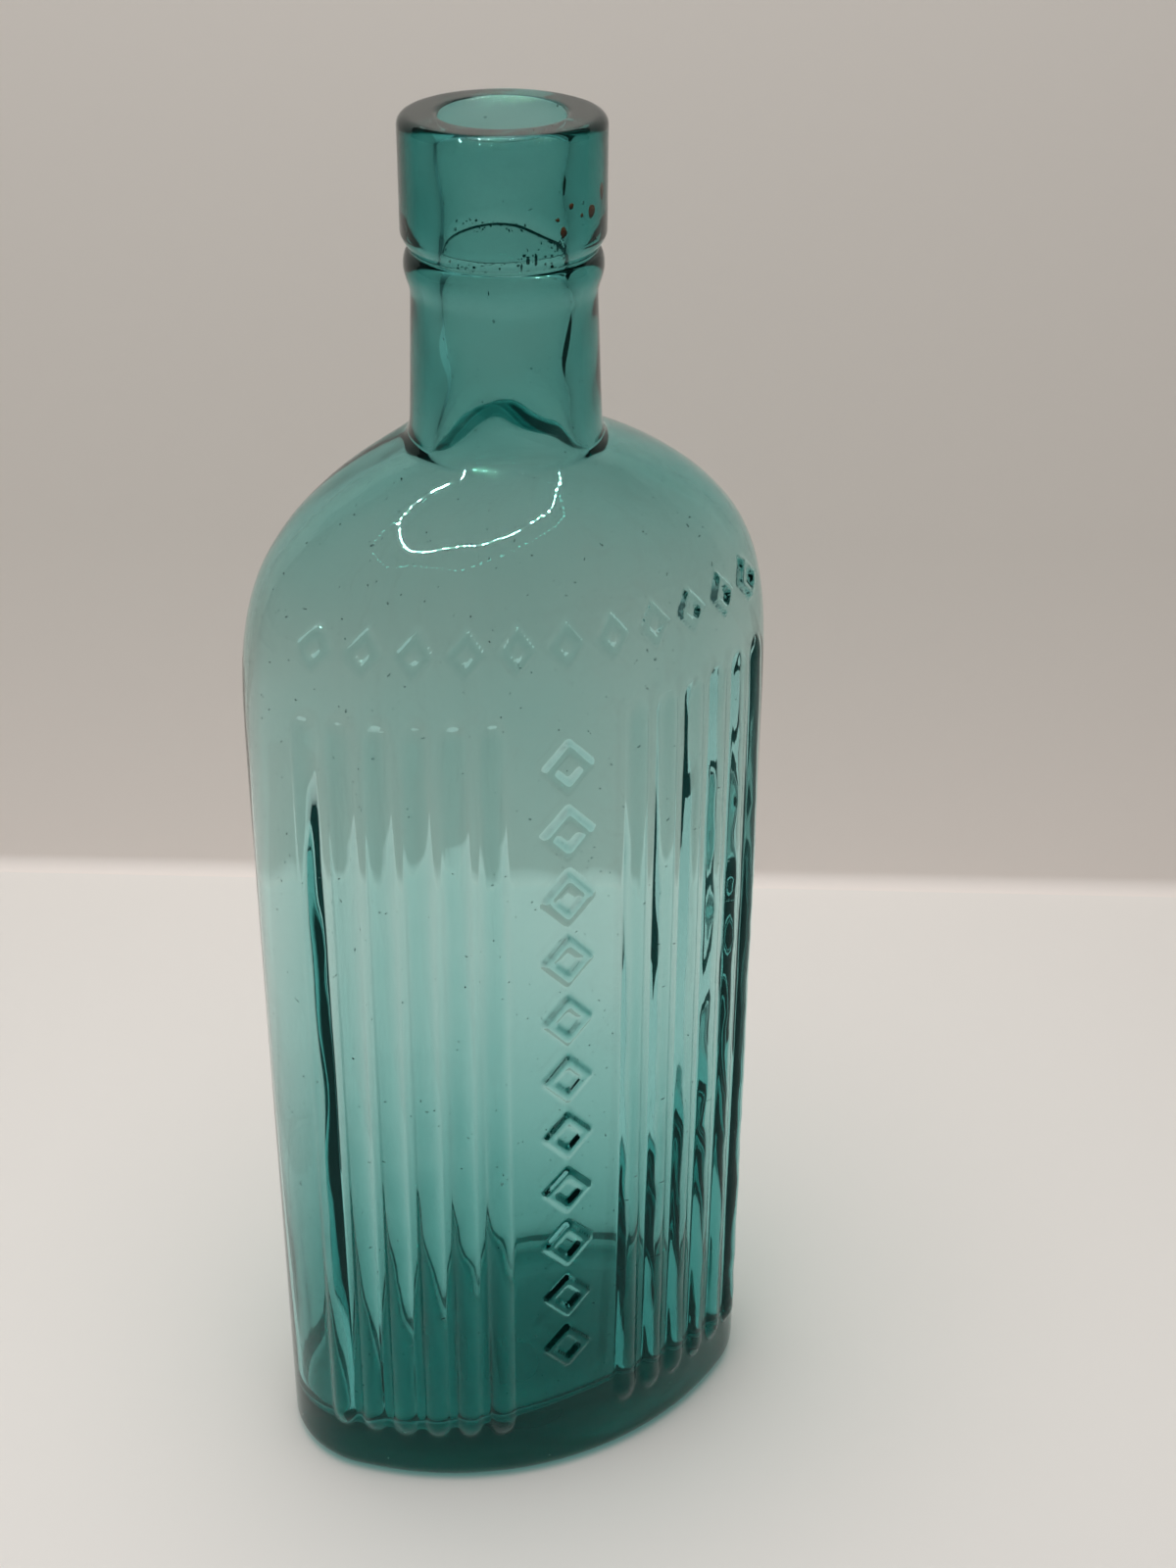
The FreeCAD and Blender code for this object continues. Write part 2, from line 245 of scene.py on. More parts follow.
@dataclass(frozen=True)
class BottleGlass:
    """Teal bottle glass, mould-blown and fire-polished.

    Iron in the sand gives the colour, which the eye sees deepen with the length of glass that light
    crosses: pale in the thin wall, strong in the collar, nearly black in the heel. Chill wrinkles from the
    mould and a century of handling leave a faint ripple and dull scuffs on an otherwise clear skin. Shelf
    wear has frosted the underside of the base, which makes the thick glass above it glow.
    """

    skin: str = "#FBFDFC"
    depth_colour: str = "#76D9D7"
    density_per_metre: float = 262.0
    sheen: str = "#5CD6D2"
    shade: str = "#FFFBFB"
    refraction: float = 1.52
    clear_roughness: float = 0.012
    scuff_roughness: float = 0.05
    scuff_size: float = 14.0
    scuff_range: tuple = (0.55, 0.8)
    wear_level: float = 0.9
    wear_roughness: float = 0.3
    wrinkle_size: float = 5.0
    wrinkle_depth: float = 0.012
    wrinkle_stretch: float = 0.25

    def material(self) -> bpy.types.Material:
        """Builds the glass material.

        Returns:
            A material with clear transmission, absorption in depth, scuffs and chill wrinkles.
        """
        material, tree = new_material("teal_bottle_glass_mould_blown")
        place = add_node(tree, "ShaderNodeTexCoord").outputs["Object"]
        scuffs = add_node(tree, "ShaderNodeTexNoise", {
            "Vector": place, "Scale": 1 / (self.scuff_size * MM), "Detail": 4.0, "Roughness": 0.6})
        roughness = add_node(tree, "ShaderNodeMapRange", {
            "Value": scuffs.outputs[0], "From Min": self.scuff_range[0], "From Max": self.scuff_range[1],
            "To Min": self.clear_roughness, "To Max": self.scuff_roughness})
        level = add_node(tree, "ShaderNodeSeparateXYZ", [place]).outputs[2]
        wear = add_node(tree, "ShaderNodeMapRange", {
            "Value": level, "From Min": self.wear_level * MM, "From Max": 2 * self.wear_level * MM,
            "To Min": self.wear_roughness, "To Max": 0.0})
        dulled = add_node(tree, MATH, [roughness.outputs[0], wear.outputs[0]], operation="MAXIMUM")
        upright = add_node(tree, "ShaderNodeVectorMath", [place, (1.0, 1.0, self.wrinkle_stretch)],
                           operation="MULTIPLY")
        wrinkles = add_node(tree, "ShaderNodeTexNoise", {
            "Vector": upright.outputs[0], "Scale": 1 / (self.wrinkle_size * MM), "Detail": 1.0})
        bump = add_node(tree, "ShaderNodeBump", {
            "Height": wrinkles.outputs[0], "Strength": 1.0, "Distance": self.wrinkle_depth * MM})
        surface = add_node(tree, "ShaderNodeBsdfPrincipled", {
            "Base Color": linear(self.skin), "Roughness": dulled.outputs[0], "IOR": self.refraction,
            "Transmission Weight": 1.0, "Specular Tint": linear(self.sheen), "Normal": bump.outputs[0]})
        depth = add_node(tree, "ShaderNodeVolumeAbsorption", {
            "Color": linear(self.depth_colour), "Density": self.density_per_metre})
        clear = add_node(tree, "ShaderNodeBsdfTransparent", [linear(self.shade)])
        lamp_ray = add_node(tree, "ShaderNodeLightPath").outputs["Is Shadow Ray"]
        lit = add_node(tree, "ShaderNodeMixShader", [lamp_ray, surface.outputs[0], clear.outputs[0]])
        add_node(tree, "ShaderNodeOutputMaterial", {
            "Surface": lit.outputs[0], "Volume": depth.outputs[0]})
        return material


@dataclass(frozen=True)
class IronRust:
    """Iron scale off the glassmaker's tools: matt, in two browns that break up into fine grains.

    Flakes rust to orange brown, and grains burnt into the glass stay nearly black. Neither shines, so the
    eye reads them as dirt in the glass. The grain of real rust is too fine to show and is drawn coarser.
    """

    name: str = "iron_scale_rusted"
    light: str = "#7E4622"
    dark: str = "#2E1A10"
    grain: float = 0.25
    roughness: float = 0.85

    def material(self) -> bpy.types.Material:
        """Builds the rust material.

        Returns:
            A matt material that mixes two browns in fine grains.
        """
        material, tree = new_material(self.name)
        place = add_node(tree, "ShaderNodeTexCoord").outputs["Object"]
        grains = add_node(tree, "ShaderNodeTexNoise", {
            "Vector": place, "Scale": 1 / (self.grain * MM), "Detail": 3.0})
        colour = add_node(tree, "ShaderNodeMix", {
            0: grains.outputs[0], 6: linear(self.dark), 7: linear(self.light)}, data_type="RGBA")
        surface = add_node(tree, "ShaderNodeBsdfPrincipled", {
            "Base Color": colour.outputs[2], "Roughness": self.roughness, "Specular IOR Level": 0.0})
        add_node(tree, "ShaderNodeOutputMaterial", {"Surface": surface.outputs[0]})
        return material


@dataclass(frozen=True)
class Oval:
    """Plan of the body: two flat arcs for the faces and two tight arcs for the ends, all tangent.

    A place on it is given by its turn, the angle of its outward normal from the front, positive towards +X.
    """

    half_width: float
    half_depth: float
    end_radius: float

    @property
    def face_radius(self) -> float:
        """Radius of the front and back arcs, so that they meet the end arcs without a corner."""
        squares = self.half_width ** 2 + self.half_depth ** 2
        return (squares - 2 * self.half_width * self.end_radius) / (2 * (self.half_depth - self.end_radius))

    @property
    def join(self) -> float:
        """Turn at which the front arc passes into an end arc."""
        return math.asin((self.half_width - self.end_radius) / (self.face_radius - self.end_radius))

    def knots(self) -> tuple[np.ndarray, np.ndarray]:
        """Finds where the arcs meet.

        Returns:
            Turns at the meetings, from back round to back, and the distances there from the front's middle.
        """
        turns = np.array([self.join, math.pi - self.join, math.pi])
        face = self.face_radius * self.join
        end = self.end_radius * (math.pi - 2 * self.join)
        distances = np.cumsum([face, end, face])
        return np.concatenate((-turns[::-1], turns)), np.concatenate((-distances[::-1], distances))

    def arcs(self, turns: np.ndarray) -> tuple[np.ndarray, np.ndarray]:
        """Finds the arc that each turn lies on.

        Args:
            turns: Array of turns.
        Returns:
            Centres as rows of x and y, and radii.
        """
        on_face = np.abs(np.cos(turns)) > math.cos(self.join)
        side = np.sign(np.sin(turns)) * (self.half_width - self.end_radius)
        reach = np.sign(np.cos(turns)) * (self.face_radius - self.half_depth)
        centres = np.column_stack((np.where(on_face, 0.0, side), np.where(on_face, reach, 0.0)))
        return centres, np.where(on_face, self.face_radius, self.end_radius)


@dataclass(frozen=True)
class Ring:
    """One level loop of the glass skin.

    Its section is a share of the oval, drawn in by an inset, blended with a circle for the rest.
    """

    height: float
    share: float
    inset: float
    radius: float
    surface: Surface


@dataclass
class RibBanks:
    """Two banks of upright half-round ribs, left and right of the plain front panel."""

    count: int = 6
    pitch: float = 4.85
    first: float = 9.9
    radius: float = 2.5
    proud: float = 0.9
    bottom: float = 9.5
    top: float = 131.0
    run_out: float = 3.2
    root: float = 0.25
    faint_from: float = 90.0
    faint_share: float = 0.65
    noise_size: float = 7.0
    unevenness: float = 0.9
    stations: tuple = (-2.42, -2.1, -1.9, -1.75, -1.58, -1.35, -1.0, -0.5,
                       0.0, 0.5, 1.0, 1.35, 1.58, 1.75, 1.9, 2.1)

    @property
    def half_chord(self) -> float:
        """Half the width of a rib where it leaves the wall."""
        return math.sqrt(self.radius ** 2 - (self.radius - self.proud) ** 2)

    def inputs(self) -> dict:
        """Returns the tree inputs of the ribs in metres."""
        return {
            "Rib First": self.first * MM, "Rib Pitch": self.pitch * MM, "Last Rib": self.count - 1.0,
            "Rib Radius": self.radius * MM, "Rib Core": (self.radius - self.proud) * MM,
            "Rib Low": (self.bottom + self.run_out) * MM, "Rib High": (self.top - self.run_out) * MM,
            "Rib Squeeze": self.half_chord / self.run_out, "Rib Root": self.root * MM,
            "Rib Faint From": self.faint_from * MM, "Rib Top": self.top * MM, "Rib Faint": self.faint_share,
            "Rib Noise Scale": 1 / (self.noise_size * MM), "Rib Unevenness": self.unevenness}

    def columns(self) -> np.ndarray:
        """Returns the distances of the mesh columns over the right bank, set closer on the flanks."""
        middles = self.first + self.pitch * np.arange(self.count)
        return (middles[:, None] + np.array(self.stations)).ravel()

    @staticmethod
    def steps() -> list:
        """Returns the steps that work out how far the ribs stand proud at a point."""
        return [
            ("rib side", MATH, {"operation": "ABSOLUTE"}, ["along"]),
            ("past first", MATH, {"operation": "SUBTRACT"}, ["rib side", "Rib First"]),
            ("rib share", MATH, {"operation": "DIVIDE"}, ["past first", "Rib Pitch"]),
            ("rib whole", MATH, {"operation": "ROUND"}, ["rib share"]),
            ("rib from first", MATH, {"operation": "MAXIMUM"}, ["rib whole", 0.0]),
            ("rib number", MATH, {"operation": "MINIMUM"}, ["rib from first", "Last Rib"]),
            ("rib middle", MATH, {"operation": "MULTIPLY"}, ["rib number", "Rib Pitch"]),
            ("rib across", MATH, {"operation": "SUBTRACT"}, ["past first", "rib middle"]),
            ("rib above", MATH, {"operation": "SUBTRACT"}, ["height", "Rib High"]),
            ("rib below", MATH, {"operation": "SUBTRACT"}, ["Rib Low", "height"]),
            ("rib past end", MATH, {"operation": "MAXIMUM"}, ["rib above", "rib below"]),
            ("rib over end", MATH, {"operation": "MAXIMUM"}, ["rib past end", 0.0]),
            ("rib end", MATH, {"operation": "MULTIPLY"}, ["rib over end", "Rib Squeeze"]),
            ("rib end square", MATH, {"operation": "MULTIPLY"}, ["rib end", "rib end"]),
            ("rib reach square", MATH, {"operation": "MULTIPLY_ADD"},
             ["rib across", "rib across", "rib end square"]),
            ("rib radius square", MATH, {"operation": "MULTIPLY"}, ["Rib Radius", "Rib Radius"]),
            ("rib left", MATH, {"operation": "SUBTRACT"}, ["rib radius square", "rib reach square"]),
            ("rib not less", MATH, {"operation": "MAXIMUM"}, ["rib left", 0.0]),
            ("rib top", MATH, {"operation": "SQRT"}, ["rib not less"]),
            ("rib crest", MATH, {"operation": "SUBTRACT"}, ["rib top", "Rib Core"]),
            ("rib full", MATH, {"operation": "SMOOTH_MAX"}, ["rib crest", 0.0, "Rib Root"]),
            ("rib strength", "ShaderNodeMapRange", {"interpolation_type": "SMOOTHSTEP"},
             ["height", "Rib Faint From", "Rib Top", 1.0, "Rib Faint"]),
            ("rib noise", "ShaderNodeTexNoise", {"noise_dimensions": "3D"},
             ["place", 0.0, "Rib Noise Scale"]),
            ("rib swing", MATH, {"operation": "SUBTRACT"}, ["rib noise", 0.5]),
            ("rib uneven", MATH, {"operation": "MULTIPLY_ADD"}, ["rib swing", "Rib Unevenness", 1.0]),
            ("rib worn", MATH, {"operation": "MULTIPLY"}, ["rib strength", "rib uneven"]),
            ("rib rise", MATH, {"operation": "MULTIPLY"}, ["rib full", "rib worn"]),
        ]


@dataclass
class LozengeBand:
    """A line of raised open lozenges, each a stroke of glass round a bare middle."""

    name: str
    width: float
    height: float
    stroke: float
    relief: float = 0.6
    edge: float = 0.3

    def inputs(self) -> dict:
        """Returns the tree inputs of the band in metres."""
        half_width = self.width / 2
        half_height = self.height / 2
        slope = half_width * half_height / math.hypot(half_width, half_height)
        return {
            f"{self.name} Half Width": half_width * MM, f"{self.name} Half Height": half_height * MM,
            f"{self.name} Slope": slope * MM, f"{self.name} Half Stroke": self.stroke / 2 * MM,
            f"{self.name} Edge": self.edge / 2 * MM, f"{self.name} Relief": self.relief * MM}

    def steps(self, across: str, up: str) -> list:
        """Lists the steps that work out the relief of the nearest lozenge.

        Args:
            across: Name of the socket with the sideways distance from the lozenge's middle.
            up: Name of the socket with the upright distance from it.
        Returns:
            Steps whose last one is named after the band, with the word rise.
        """
        name = self.name
        return [
            (f"{name} side", MATH, {"operation": "ABSOLUTE"}, [across]),
            (f"{name} level", MATH, {"operation": "ABSOLUTE"}, [up]),
            (f"{name} x", MATH, {"operation": "DIVIDE"}, [f"{name} side", f"{name} Half Width"]),
            (f"{name} z", MATH, {"operation": "DIVIDE"}, [f"{name} level", f"{name} Half Height"]),
            (f"{name} sum", MATH, {"operation": "ADD"}, [f"{name} x", f"{name} z"]),
            (f"{name} over", MATH, {"operation": "SUBTRACT"}, [f"{name} sum", 1.0]),
            (f"{name} outside", MATH, {"operation": "MULTIPLY"}, [f"{name} over", f"{name} Slope"]),
            (f"{name} offset", MATH, {"operation": "ADD"}, [f"{name} outside", f"{name} Half Stroke"]),
            (f"{name} from stroke", MATH, {"operation": "ABSOLUTE"}, [f"{name} offset"]),
            (f"{name} gap", MATH, {"operation": "SUBTRACT"}, [f"{name} from stroke", f"{name} Half Stroke"]),
            (f"{name} inner", MATH, {"operation": "MULTIPLY"}, [f"{name} Edge", -1.0]),
            (f"{name} rise", "ShaderNodeMapRange", {"interpolation_type": "SMOOTHSTEP"},
             [f"{name} gap", f"{name} inner", f"{name} Edge", f"{name} Relief", 0.0]),
        ]


@dataclass
class GlassBottle:
    """The whole run of glass: blown body, string ring and collar, fused hot into one skin.

    The skin is one closed surface, from the middle of the base up the outside, over the rim and down the
    inside to the middle of the floor, so that light is refracted and absorbed as in one piece of glass.
    """

    half_width: float
    half_depth: float
    top: float
    ring_bottom: float
    ring_top: float
    ring_radius: float
    collar_bottom: float
    collar_radius: float
    bore_radius: float
    end_radius: float = 14.7
    heel_radius: float = 3.0
    rest_width: float = 4.0
    push_up: float = 0.8
    shoulder_start: float = 106.0
    shoulder_top: float = 160.0
    shoulder_power: float = 5.6
    foot_flare: float = 0.6
    foot_length: float = 0.8
    foot_top: float = 166.0
    neck_radius: float = 12.2
    land_radius: float = 11.55
    land_bottom: float = 178.3
    ring_crest: float = 0.62
    collar_underside: float = 2.0
    collar_slope: float = 1.5
    rim_round: float = 1.4
    mouth_round: float = 1.0
    wall_levels: tuple = (8.0, 25.0, 40.0, 60.0, 90.0, 130.0, 150.0, 158.0)
    wall_on_faces: tuple = (5.6, 4.5, 3.3, 2.3, 1.85, 2.05, 2.1, 2.3)
    wall_blend: float = 9.0
    end_thinning: float = 0.5
    fold_middle: float = -34.3
    fold_reach: float = 1.2
    fold_depth: float = 1.0
    fold_levels: tuple = (13.0, 20.0, 105.0, 132.0)
    fold_fade: tuple = (-47.0, -36.5)
    fold_waves: tuple = ((0.3, 9.0, 0.0), (0.15, 3.7, 1.0))
    cavity_top: float = 158.0
    funnel_top: float = 168.0
    funnel_flare: float = 2.0
    floor_level: float = 6.0
    floor_round: float = 5.0
    floor_crown: float = 1.0
    lump_height: float = 6.0
    lump_spot: tuple = (9.0, -5.0)
    lump_reach: float = 17.0
    lump_fade: float = 30.0
    seam_level: float = 184.6
    ragged_waves: tuple = ((0.6, 2, 0.6), (0.35, 5, 2.0), (0.25, 11, 0.0))
    bore_waves: tuple = ((0.1, 2.9, 2, 0.0), (0.07, 1.7, -3, 1.0))
    ripple_size: float = 16.0
    ripple_stretch: float = 0.45
    ripple_seed: float = 4.0
    ripple_middle: float = 0.75
    wrinkle_levels: tuple = (132.0, 154.0)
    wrinkle_depth: float = 0.9
    base_roughness: float = 0.7
    base_shares: tuple = (0.9, 1.0)
    seeds_per_square_metre: float = 12000.0
    seed_radius: float = 0.15
    seed_depths: tuple = (0.4, 0.9)
    seed_stretches: tuple = ((0.5, 0.4, 0.4), (2.2, 1.1, 1.0))
    seed_random: int = 11
    ribs: RibBanks = field(default_factory=RibBanks)
    column: LozengeBand = field(default_factory=lambda: LozengeBand("Column", 7.2, 8.0, 1.3))
    column_foot: float = 25.0
    column_pitch: float = 9.8
    column_count: int = 11
    row: LozengeBand = field(default_factory=lambda: LozengeBand("Row", 5.0, 6.4, 1.1))
    row_level: float = 140.0
    row_pitch: float = 6.67
    row_count: int = 6
    disc_rings: int = 10
    arc_rings: int = 10
    rim_rings: int = 9
    string_rings: int = 12
    collar_rings: int = 10
    lip_rings: int = 6
    blend_samples: int = 9
    rib_margin: float = 0.5
    row_margin: float = 4.0
    panel_cuts: int = 5
    panel_margin: float = 0.6
    panel_least: float = 0.5
    panel_step: float = 0.36
    end_step: float = 1.1
    end_margin: float = 0.6
    back_margin: float = 0.5
    fold_step: float = 0.45
    fold_margins: tuple = (0.5, 0.8)
    inside_step: float = 1.25
    round_columns: int = 128

    ripple_depth: ClassVar[dict] = {
        Surface.WALL: 0.12, Surface.FINISH: 0.2, Surface.BORE: 0.8, Surface.CAVITY: 0.6}

    @property
    def oval(self) -> Oval:
        """Plan of the body."""
        return Oval(self.half_width, self.half_depth, self.end_radius)

    def columns(self, surface: Surface) -> np.ndarray:
        """Spaces the columns of a surface.

        Args:
            surface: Stretch of the skin.
        Returns:
            Rising turns from the middle of the back all the way round.
        """
        knot_turns, knot_distances = self.oval.knots()
        half_way = knot_distances[-1]
        back = half_way - self.back_margin
        if surface is Surface.WALL:
            bank = self.ribs.columns()
            panel = np.arange(-bank[0] + self.panel_step, bank[0] - LEAST_STEP, self.panel_step)
            coarse = np.arange(bank[-1] + self.end_margin, back, self.end_step)
            distances = np.concatenate(([-half_way], -coarse[::-1], -bank[::-1], panel, bank, coarse))
        elif surface is Surface.CAVITY:
            fold_edge = self.fold_reach * 2
            near = np.arange(self.fold_middle - fold_edge, self.fold_middle + fold_edge, self.fold_step)
            left = np.arange(-half_way, near[0] - self.fold_margins[0], self.inside_step)
            right = np.arange(near[-1] + self.fold_margins[1], back, self.inside_step)
            distances = np.concatenate((left, near, right))
        else:
            return np.linspace(-math.pi, math.pi, self.round_columns, endpoint=False)
        return np.interp(distances, knot_distances, knot_turns)

    def wall(self, turns: np.ndarray, height: float) -> np.ndarray:
        """Works out the thickness of the blown wall.

        Args:
            turns: Turns of the columns.
            height: Level of the ring.
        Returns:
            Thickness at each turn: least at the ends, where the glass was blown furthest, more towards the
            base, where it slumped, and with an upright fold inside the left bank of ribs.
        """
        near_levels = height + np.linspace(-self.wall_blend, self.wall_blend, self.blend_samples)
        face = np.interp(near_levels, self.wall_levels, self.wall_on_faces).mean()
        along = np.interp(turns, *self.oval.knots())
        wobble = sum(swing * math.sin(height / length + phase) for swing, length, phase in self.fold_waves)
        rise = 0.5 - 0.5 * np.tanh((along - self.fold_middle - wobble) / self.fold_reach)
        past = np.interp(along, self.fold_fade, (0.0, 1.0))
        stand = np.interp(near_levels, self.fold_levels, (0.0, 1.0, 1.0, 0.0)).mean()
        fold = self.fold_depth * rise * past * stand
        return face * (1 - self.end_thinning * np.sin(turns) ** 2) + fold

    def shoulder_share(self, height: float, start: float, end: float) -> float:
        """Returns the share of the oval in the shoulder's section at a height."""
        return 1.0 - max(0.0, (height - start) / (end - start)) ** self.shoulder_power

    def outside(self) -> list[Ring]:
        """Lists the rings of the moulded outside.

        Returns:
            Rings from the base's middle to the top of the shoulder.
        """
        rest_inset = self.heel_radius + self.rest_width
        rings = []
        for share in np.linspace(1 / self.disc_rings, 1.0, self.disc_rings):
            rings.append(Ring(self.push_up * (1 - share ** 2), share, rest_inset, 0.0, Surface.WALL))
        for angle in np.radians(np.linspace(0, 90, self.arc_rings)):
            inset = self.heel_radius * (1 - math.sin(angle))
            rings.append(Ring(self.heel_radius * (1 - math.cos(angle)), 1.0, inset, 0.0, Surface.WALL))
        rib_low = self.ribs.bottom - self.rib_margin
        rib_high = self.ribs.top + self.rib_margin
        ends = self.ribs.run_out + self.rib_margin
        row_low = self.row_level - self.row_margin
        row_high = self.row_level + self.row_margin
        levels = spread(
            (self.heel_radius + 1.5, rib_low, 1.5),
            (rib_low, self.ribs.bottom + ends, 0.6),
            (self.ribs.bottom + ends, self.ribs.top - ends, 2.5),
            (self.ribs.top - ends, rib_high, 0.6),
            (rib_high, row_low, 1.2),
            (row_low, row_high, 0.5),
            (row_high, self.shoulder_top - 2.0, 0.7),
            (self.shoulder_top - 2.0, self.shoulder_top - 0.1, 0.3))
        for level in levels:
            share = self.shoulder_share(level, self.shoulder_start, self.shoulder_top)
            rings.append(Ring(level, share, 0.0, self.neck_radius + self.foot_flare, Surface.WALL))
        return rings

    def finish(self) -> list[Ring]:
        """Lists the rings of the neck, the string ring and the collar.

        Returns:
            Rings from the neck's foot over the rim to the mouth.
        """
        quarter = np.radians(np.linspace(0, 90, self.rim_rings))
        profile = []
        for level in spread((self.shoulder_top, self.foot_top, 0.4), (self.foot_top, self.land_bottom, 1.4)):
            taper = (level - self.shoulder_top) / (self.land_bottom - self.shoulder_top)
            flare = self.foot_flare * math.exp(-(level - self.shoulder_top) / self.foot_length)
            radius = self.neck_radius + taper * (self.land_radius - self.neck_radius)
            profile.append((radius + flare, level))
        ring_proud = self.ring_radius - self.land_radius
        crest = self.ring_bottom + self.ring_crest * (self.ring_top - self.ring_bottom)
        for share in np.linspace(0, 1, self.string_rings):
            swell = ring_proud * (1 - math.cos(math.pi * share)) / 2
            level = self.land_bottom + share * (crest - self.land_bottom)
            profile.append((self.land_radius + swell, level))
        for angle in quarter[1:]:
            level = crest + (self.ring_top - crest) * math.sin(angle)
            profile.append((self.land_radius + ring_proud * math.cos(angle), level))
        for share in np.linspace(0, 1, self.collar_rings):
            slope = 1 - (1 - share) ** self.collar_slope
            radius = self.land_radius + (self.collar_radius - self.land_radius) * slope
            profile.append((radius, self.collar_bottom + self.collar_underside * share))
        shoulder = self.top - self.rim_round
        side_foot = self.collar_bottom + self.collar_underside
        for level in np.linspace(side_foot, shoulder, self.collar_rings)[1:-1]:
            profile.append((self.collar_radius, level))
        for angle in quarter:
            radius = self.collar_radius - self.rim_round * (1 - math.cos(angle))
            profile.append((radius, shoulder + self.rim_round * math.sin(angle)))
        mouth = self.bore_radius + self.mouth_round
        for radius in np.linspace(self.collar_radius - self.rim_round, mouth, self.lip_rings)[1:-1]:
            profile.append((radius, self.top))
        for angle in quarter:
            radius = mouth - self.mouth_round * math.sin(angle)
            profile.append((radius, self.top - self.mouth_round * (1 - math.cos(angle))))
        return [Ring(level, 0.0, 0.0, radius, Surface.FINISH) for radius, level in profile]

    def inside(self) -> list[Ring]:
        """Lists the rings of the bore and the cavity.

        Returns:
            Rings from under the mouth down to the floor's middle.
        """
        rings = []
        levels = spread((self.top - 2.0, self.funnel_top, -0.75), (self.funnel_top, self.cavity_top, -0.4))
        for level in levels:
            fall = max(0.0, (self.funnel_top - level) / (self.funnel_top - self.cavity_top))
            radius = self.bore_radius + self.funnel_flare * fall ** 3
            rings.append(Ring(level, 0.0, 0.0, radius, Surface.BORE))
        floor_top = self.floor_level + self.floor_round
        levels = spread(
            (self.cavity_top - 0.1, self.cavity_top - 3.0, -0.3),
            (self.cavity_top - 3.0, self.shoulder_start, -1.0),
            (self.shoulder_start, floor_top + 0.5, -2.0))
        for level in levels:
            share = self.shoulder_share(level, self.shoulder_start, self.cavity_top)
            rings.append(Ring(level, share, 0.0, self.bore_radius + self.funnel_flare, Surface.CAVITY))
        for angle in np.radians(np.linspace(0, 90, self.arc_rings)):
            inset = self.floor_round * (1 - math.cos(angle))
            level = floor_top - self.floor_round * math.sin(angle)
            rings.append(Ring(level, 1.0, inset, 0.0, Surface.CAVITY))
        for share in np.linspace(1 - 1 / self.disc_rings, 1 / self.disc_rings, self.disc_rings - 1):
            level = self.floor_level + self.floor_crown * (1 - share ** 2)
            rings.append(Ring(level, share, self.floor_round, 0.0, Surface.CAVITY))
        return rings

    def ragged(self, turns: np.ndarray) -> np.ndarray:
        """Returns how far the cracked end of the neck strays from its level at each turn."""
        return sum(swing * np.sin(count * turns + phase) for swing, count, phase in self.ragged_waves)

    def bore_swell(self, turns: np.ndarray, height: float) -> np.ndarray:
        """Works out the waves that the tool left in the bore.

        Args:
            turns: Turns of the columns.
            height: Level of the ring.
        Returns:
            How far the bore opens outwards at each turn.
        """
        waves = [swing * np.sin(height / length + count * turns + phase)
                 for swing, length, count, phase in self.bore_waves]
        return sum(waves)

    def loop(self, ring: Ring, turns: np.ndarray) -> np.ndarray:
        """Places the points of a ring.

        Args:
            ring: The ring.
            turns: Turns of its columns.
        Returns:
            Rows of x, y and z.
        """
        centres, radii = self.oval.arcs(turns)
        outward = np.column_stack((np.sin(turns), -np.cos(turns)))
        inset = ring.inset
        round_radius = ring.radius
        if ring.surface is Surface.CAVITY:
            inset = inset + self.wall(turns, ring.height)
        if ring.surface is Surface.BORE:
            round_radius = round_radius + self.bore_swell(turns, ring.height)
        reach = ring.share * (radii - inset) + (1 - ring.share) * round_radius
        plan = ring.share * centres + outward * reach[:, None]
        level = np.full(len(turns), ring.height)
        if ring.surface is Surface.CAVITY:
            settled = max(0.0, 1 - max(0.0, ring.height - self.floor_level) / self.lump_fade) ** 2
            away = np.linalg.norm(plan - np.array(self.lump_spot), axis=1) / self.lump_reach
            level = level + self.lump_height * np.exp(-away ** 2) * settled
        return np.column_stack((plan, level))

    @staticmethod
    def bridge(lower: int, lower_turns: np.ndarray, upper: int, upper_turns: np.ndarray) -> list:
        """Joins two neighbouring rings with faces.

        Args:
            lower: Number of the first point of the earlier ring.
            lower_turns: Turns of its points.
            upper: Number of the first point of the later ring.
            upper_turns: Turns of its points.
        Returns:
            Quads where the rings have the same columns, else triangles that step along both.
        """
        count = len(lower_turns)
        other = len(upper_turns)
        if count == other:
            follow = [(column, (column + 1) % count) for column in range(count)]
            return [(lower + a, lower + b, upper + b, upper + a) for a, b in follow]
        low_ends = np.append(lower_turns[1:], lower_turns[0] + 2 * math.pi)
        high_ends = np.append(upper_turns[1:], upper_turns[0] + 2 * math.pi)
        faces = []
        low = 0
        high = 0
        while low < count or high < other:
            step_low = high == other or (low < count and low_ends[low] <= high_ends[high])
            corner_low = lower + low % count
            corner_high = upper + high % other
            if step_low:
                low += 1
                faces.append((corner_low, lower + low % count, corner_high))
            else:
                high += 1
                faces.append((corner_low, upper + high % other, corner_high))
        return faces

